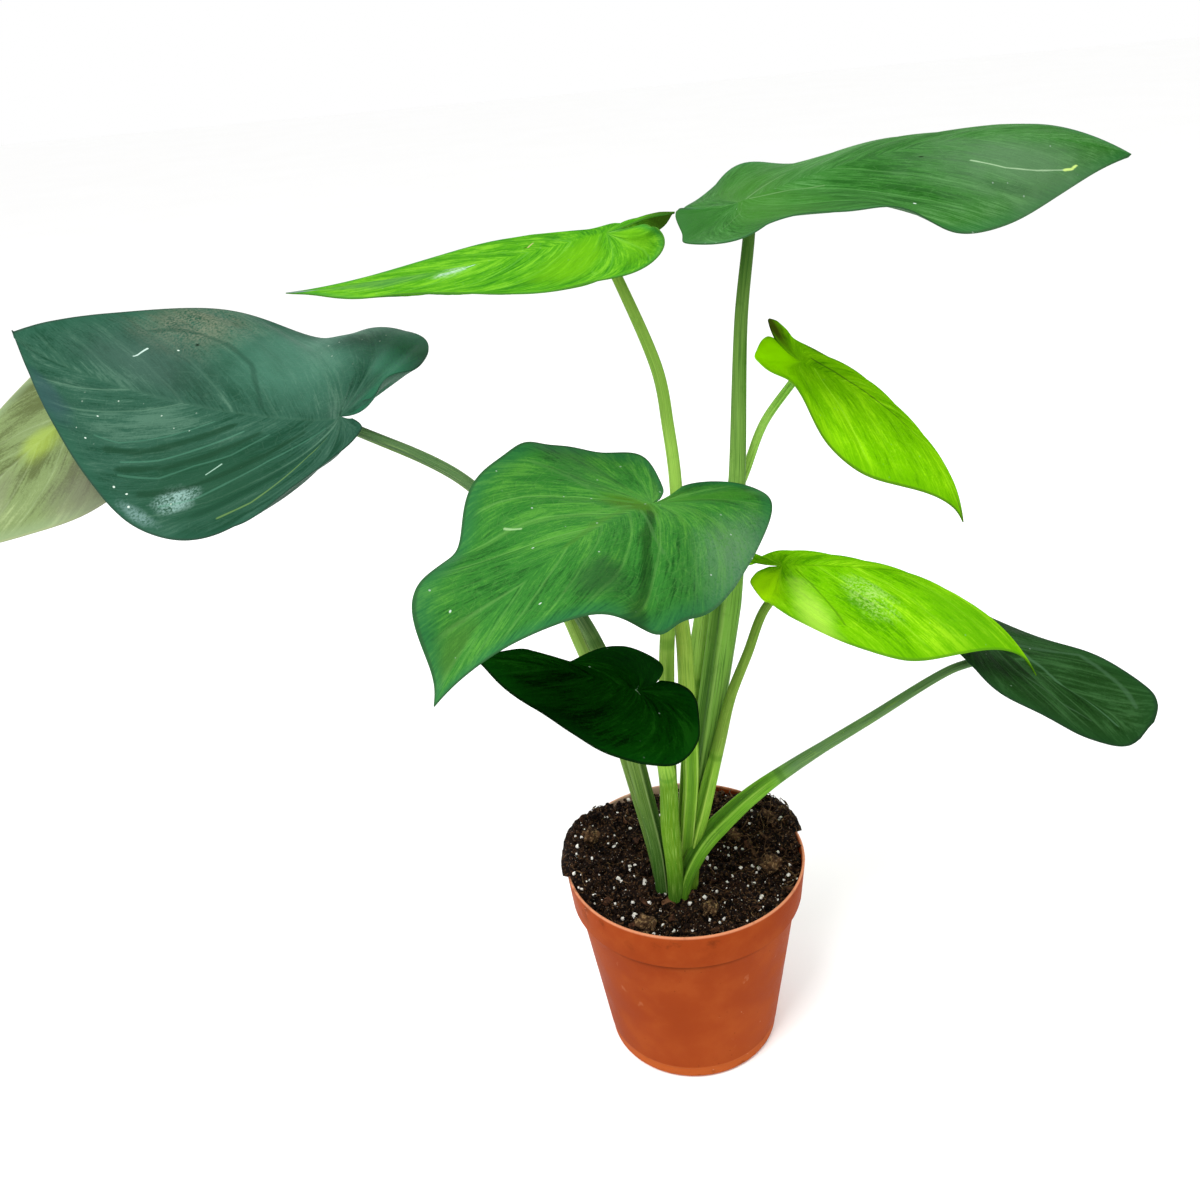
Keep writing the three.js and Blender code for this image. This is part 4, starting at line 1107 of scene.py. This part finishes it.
def addChip(seed):
    # a flat splinter of bark, one unit long, with a ragged outline
    deselectAll()
    bpy.ops.mesh.primitive_cube_add(size=1, scale=(1, 0.55, 0.22))
    chip = setInPlace(bpy.context.object)
    inEditMode(chip, bpy.ops.mesh.subdivide, number_cuts=3)
    for vertex in chip.data.vertices:
        shift = noise.noise_vector(vertex.co * 2.6 + Vector((0, seed, 0)))
        vertex.co += Vector((shift.x * 0.22, shift.y * 0.2, shift.z * 0.12))
    return useModifier(chip, "BEVEL", width=0.03, segments=1, limit_method="ANGLE")


def onRing(draw, angle, nearest, furthest):
    radius = draw.uniform(nearest, furthest)
    return radius * math.cos(angle), radius * math.sin(angle)


def nearEdge(draw):
    angle = draw.uniform(0, 2 * math.pi)
    return onRing(draw, angle, 40, 61 if 2.3 < angle < 3.4 else 57)


def atBackRight(draw):
    return onRing(draw, math.radians(draw.uniform(-15, 70)), 30, 60)


def addFibre(draw, place, length, lift):
    x, y = place
    heading = draw.uniform(0, 2 * math.pi)
    points = []
    for k in range(6):
        share = k / 5
        px, py = x + length * share * math.cos(heading), y + length * share * math.sin(heading)
        reach = math.hypot(px, py)
        if reach > 59:
            px, py = px * 59 / reach, py * 59 / reach
        points.append((px, py, groundAt(px, py) + 0.4 + lift * math.sin(math.pi * share)))
        heading += draw.uniform(-0.5, 0.5)
    thick = draw.uniform(0.14, 0.3)
    return addTube("fibre", points, (thick, thick, thick * 0.6), 6, 14, roundSection, (0, 0, 1))


def addGroundCover():
    draw = random.Random(soil["seed"])
    places = iter(soil["clods"])
    grain, crumb, clod = addGrain(1.3, 2, 0.5), addGrain(4.1, 2, 0.9), addGrain(3.4, 4, 0.8)
    edgeCrumb, bark, coir = addGrain(7.7, 2, 0.9), addChip(2.2), addChip(5.9)
    cover = [
        scatter("perlite", 320, grain, (0.4, 2), draw, dropPlace, 0.15),
        scatter("soil_crumbs", 700, crumb, (1.2, 4), draw, dropPlace, 0.2),
        scatter("soil_edge", 190, edgeCrumb, (1.2, 3.4), draw, nearEdge, 0.3),
        scatter("clods", len(soil["clods"]), clod, (8, 11), draw, lambda draw: next(places), 0.2),
        scatter("bark", 20, bark, (3, 6), draw, dropPlace, 0.15),
        scatter("coir", 26, coir, (3, 7), draw, atBackRight, 0.1),
    ]
    fibres = [addFibre(draw, dropPlace(draw), draw.uniform(8, 20), draw.uniform(0, 1.5)) for _ in range(70)]
    fibres += [addFibre(draw, atBackRight(draw), draw.uniform(8, 18), draw.uniform(1, 4)) for _ in range(40)]
    return [smooth(piece, 40) for piece in (*cover, joinPieces("fibres", fibres))]


def groundFinish(name, dark, main, warm, warmShare, dust=0.0):
    finish = Finish(name, {"Specular IOR Level": 0.06})
    clods = finish.noise(160, 5, 0.7)
    crumbs = finish.noise(700, 4, 0.7)
    flecks = finish.fade(finish.cells(650), 0.2, 0.1) * finish.fade(clods, 0.42, 0.55)
    base = finish.layers(dark, (finish.fade(clods, 0.4, 0.6), main),
                         (finish.fade(crumbs, 0.5, 0.68) * warmShare, warm), (flecks * dust, "a89c8c"))
    height = clods * 0.8 + crumbs * 0.5
    rough = finish.fade(crumbs, 0.3, 0.8, 0.7, 0.95)
    return finish.feed(Base_Color=base, Roughness=rough, Normal=finish.bump(height, 0.7, 0.0015))


# Crown: the corky stem that the stalks grow from, with the stub of an old one at the front

crown = {
    "stem": [(-5, -16, 64), (-5, -16, 75.5), (-5, -16, 87)],
    "stemRadii": (6.984, 11.64, 10.9416, 11.64, 10.0104),
    "stub": [(-8, -24, 76), (-9.5, -26.5, 90.8), (-11, -29, 105.6)], "stubRadii": (5.04, 4.2, 3.78),
    "faces": (0, -1, 0.01),
}


def stemSection(angle, share):
    return 1 - 0.03 * np.cos(2 * math.pi * 5 * share) ** 2


def stubSection(angle, share):
    return 0.93 + 0.06 * np.cos(5 * angle + 9 * share)


def addCrown():
    c = crown
    stem = addTube("crown_stem", c["stem"], c["stemRadii"], 60, 40, stemSection, c["faces"])
    stub = addTube("crown_stub", c["stub"], c["stubRadii"], 40, 40, stubSection, c["faces"])
    return joinPieces("crown_cork", [stem, stub])


# Stage: a pale floor, even white surroundings and two soft lamps

# name, place and aim in metres, size, power
lamps = [("key", (-0.45, -0.6, 1.5), (0, 0, 0.25), 0.6, 21), ("back", (0.6, 0.8, 1.3), (0, 0, 0.3), 0.5, 4)]


def addStage():
    deselectAll()
    bpy.ops.mesh.primitive_plane_add(size=12, location=(0, 3, 0))
    floor = bpy.context.object
    floor.name = "floor"
    finish = Finish("floorPaper", {"Roughness": 0.9, "Specular IOR Level": 0.1})
    tone = finish.mix(finish.noise(3, 2), "ffffff", "fcfcfb")
    floor.data.materials.append(finish.feed(Base_Color=tone))
    world = bpy.data.worlds.new("studio")
    world.use_nodes = True
    world.node_tree.nodes["Background"].inputs["Color"].default_value = (1, 1, 1, 1)
    bpy.context.scene.world = world
    for name, place, aim, size, power in lamps:
        deselectAll()
        bpy.ops.object.light_add(type="AREA", location=place)
        light = bpy.context.object
        light.name = name
        light.data.size = size
        light.data.energy = power
        light.rotation_euler = (Vector(aim) - Vector(place)).to_track_quat("-Z", "Y").to_euler()
    bpy.context.scene.view_settings.view_transform = "Standard"


addCamera()
addStage()
print("stage ready")

for seed, (leafName, leafLook) in enumerate(leaves.items()):
    blade = addBlade(leafName, leafLook)
    skins = [leafFinish(leafName, leafLook, 11.0 * seed), undersideFinish(leafName, leafLook, 11.0 * seed)]
    finishPiece(blade, skins, ["leaf_" + leafName])
print("leaves ready")

for stalkName, stalkLook in stalks.items():
    stalk = addStalk(stalkName, stalkLook)
    skin = stalkFinish(stalkName, stalkLook, stalkLook["sheath"])
    finishPiece(stalk, [skin], ["stalk_" + stalkName])
print("stalks ready")

finishPiece(addPot(), [potFinish()], ["pot"])
finishPiece(addCrown(), [groundFinish("cork", "3a2418", "6b4a34", "9a7450", 0.5)], ["crown"])
print("pot and crown ready")

peat = groundFinish("peat", "050303", "180e0a", "66492f", 0.7, 0.7)
finishPiece(addSoil(), [peat], ["soil"])
coverFinishes = {
    "perlite": groundFinish("perliteGrain", "cfcabf", "f1eee6", "ffffff", 0.5),
    "soil_crumbs": peat,
    "soil_edge": peat,
    "clods": groundFinish("coirClod", "1e130c", "503a26", "957a54", 0.85, 0.3),
    "bark": groundFinish("barkChip", "20130c", "452c1d", "74503a", 0.6),
    "coir": groundFinish("coirChip", "1e140e", "44301f", "7d6242", 0.7),
    "fibres": groundFinish("coirFibre", "2c1e14", "5c4630", "9a8058", 0.6),
}
for coverPiece in addGroundCover():
    finishPiece(coverPiece, [coverFinishes[coverPiece.name]])
print("soil ready")
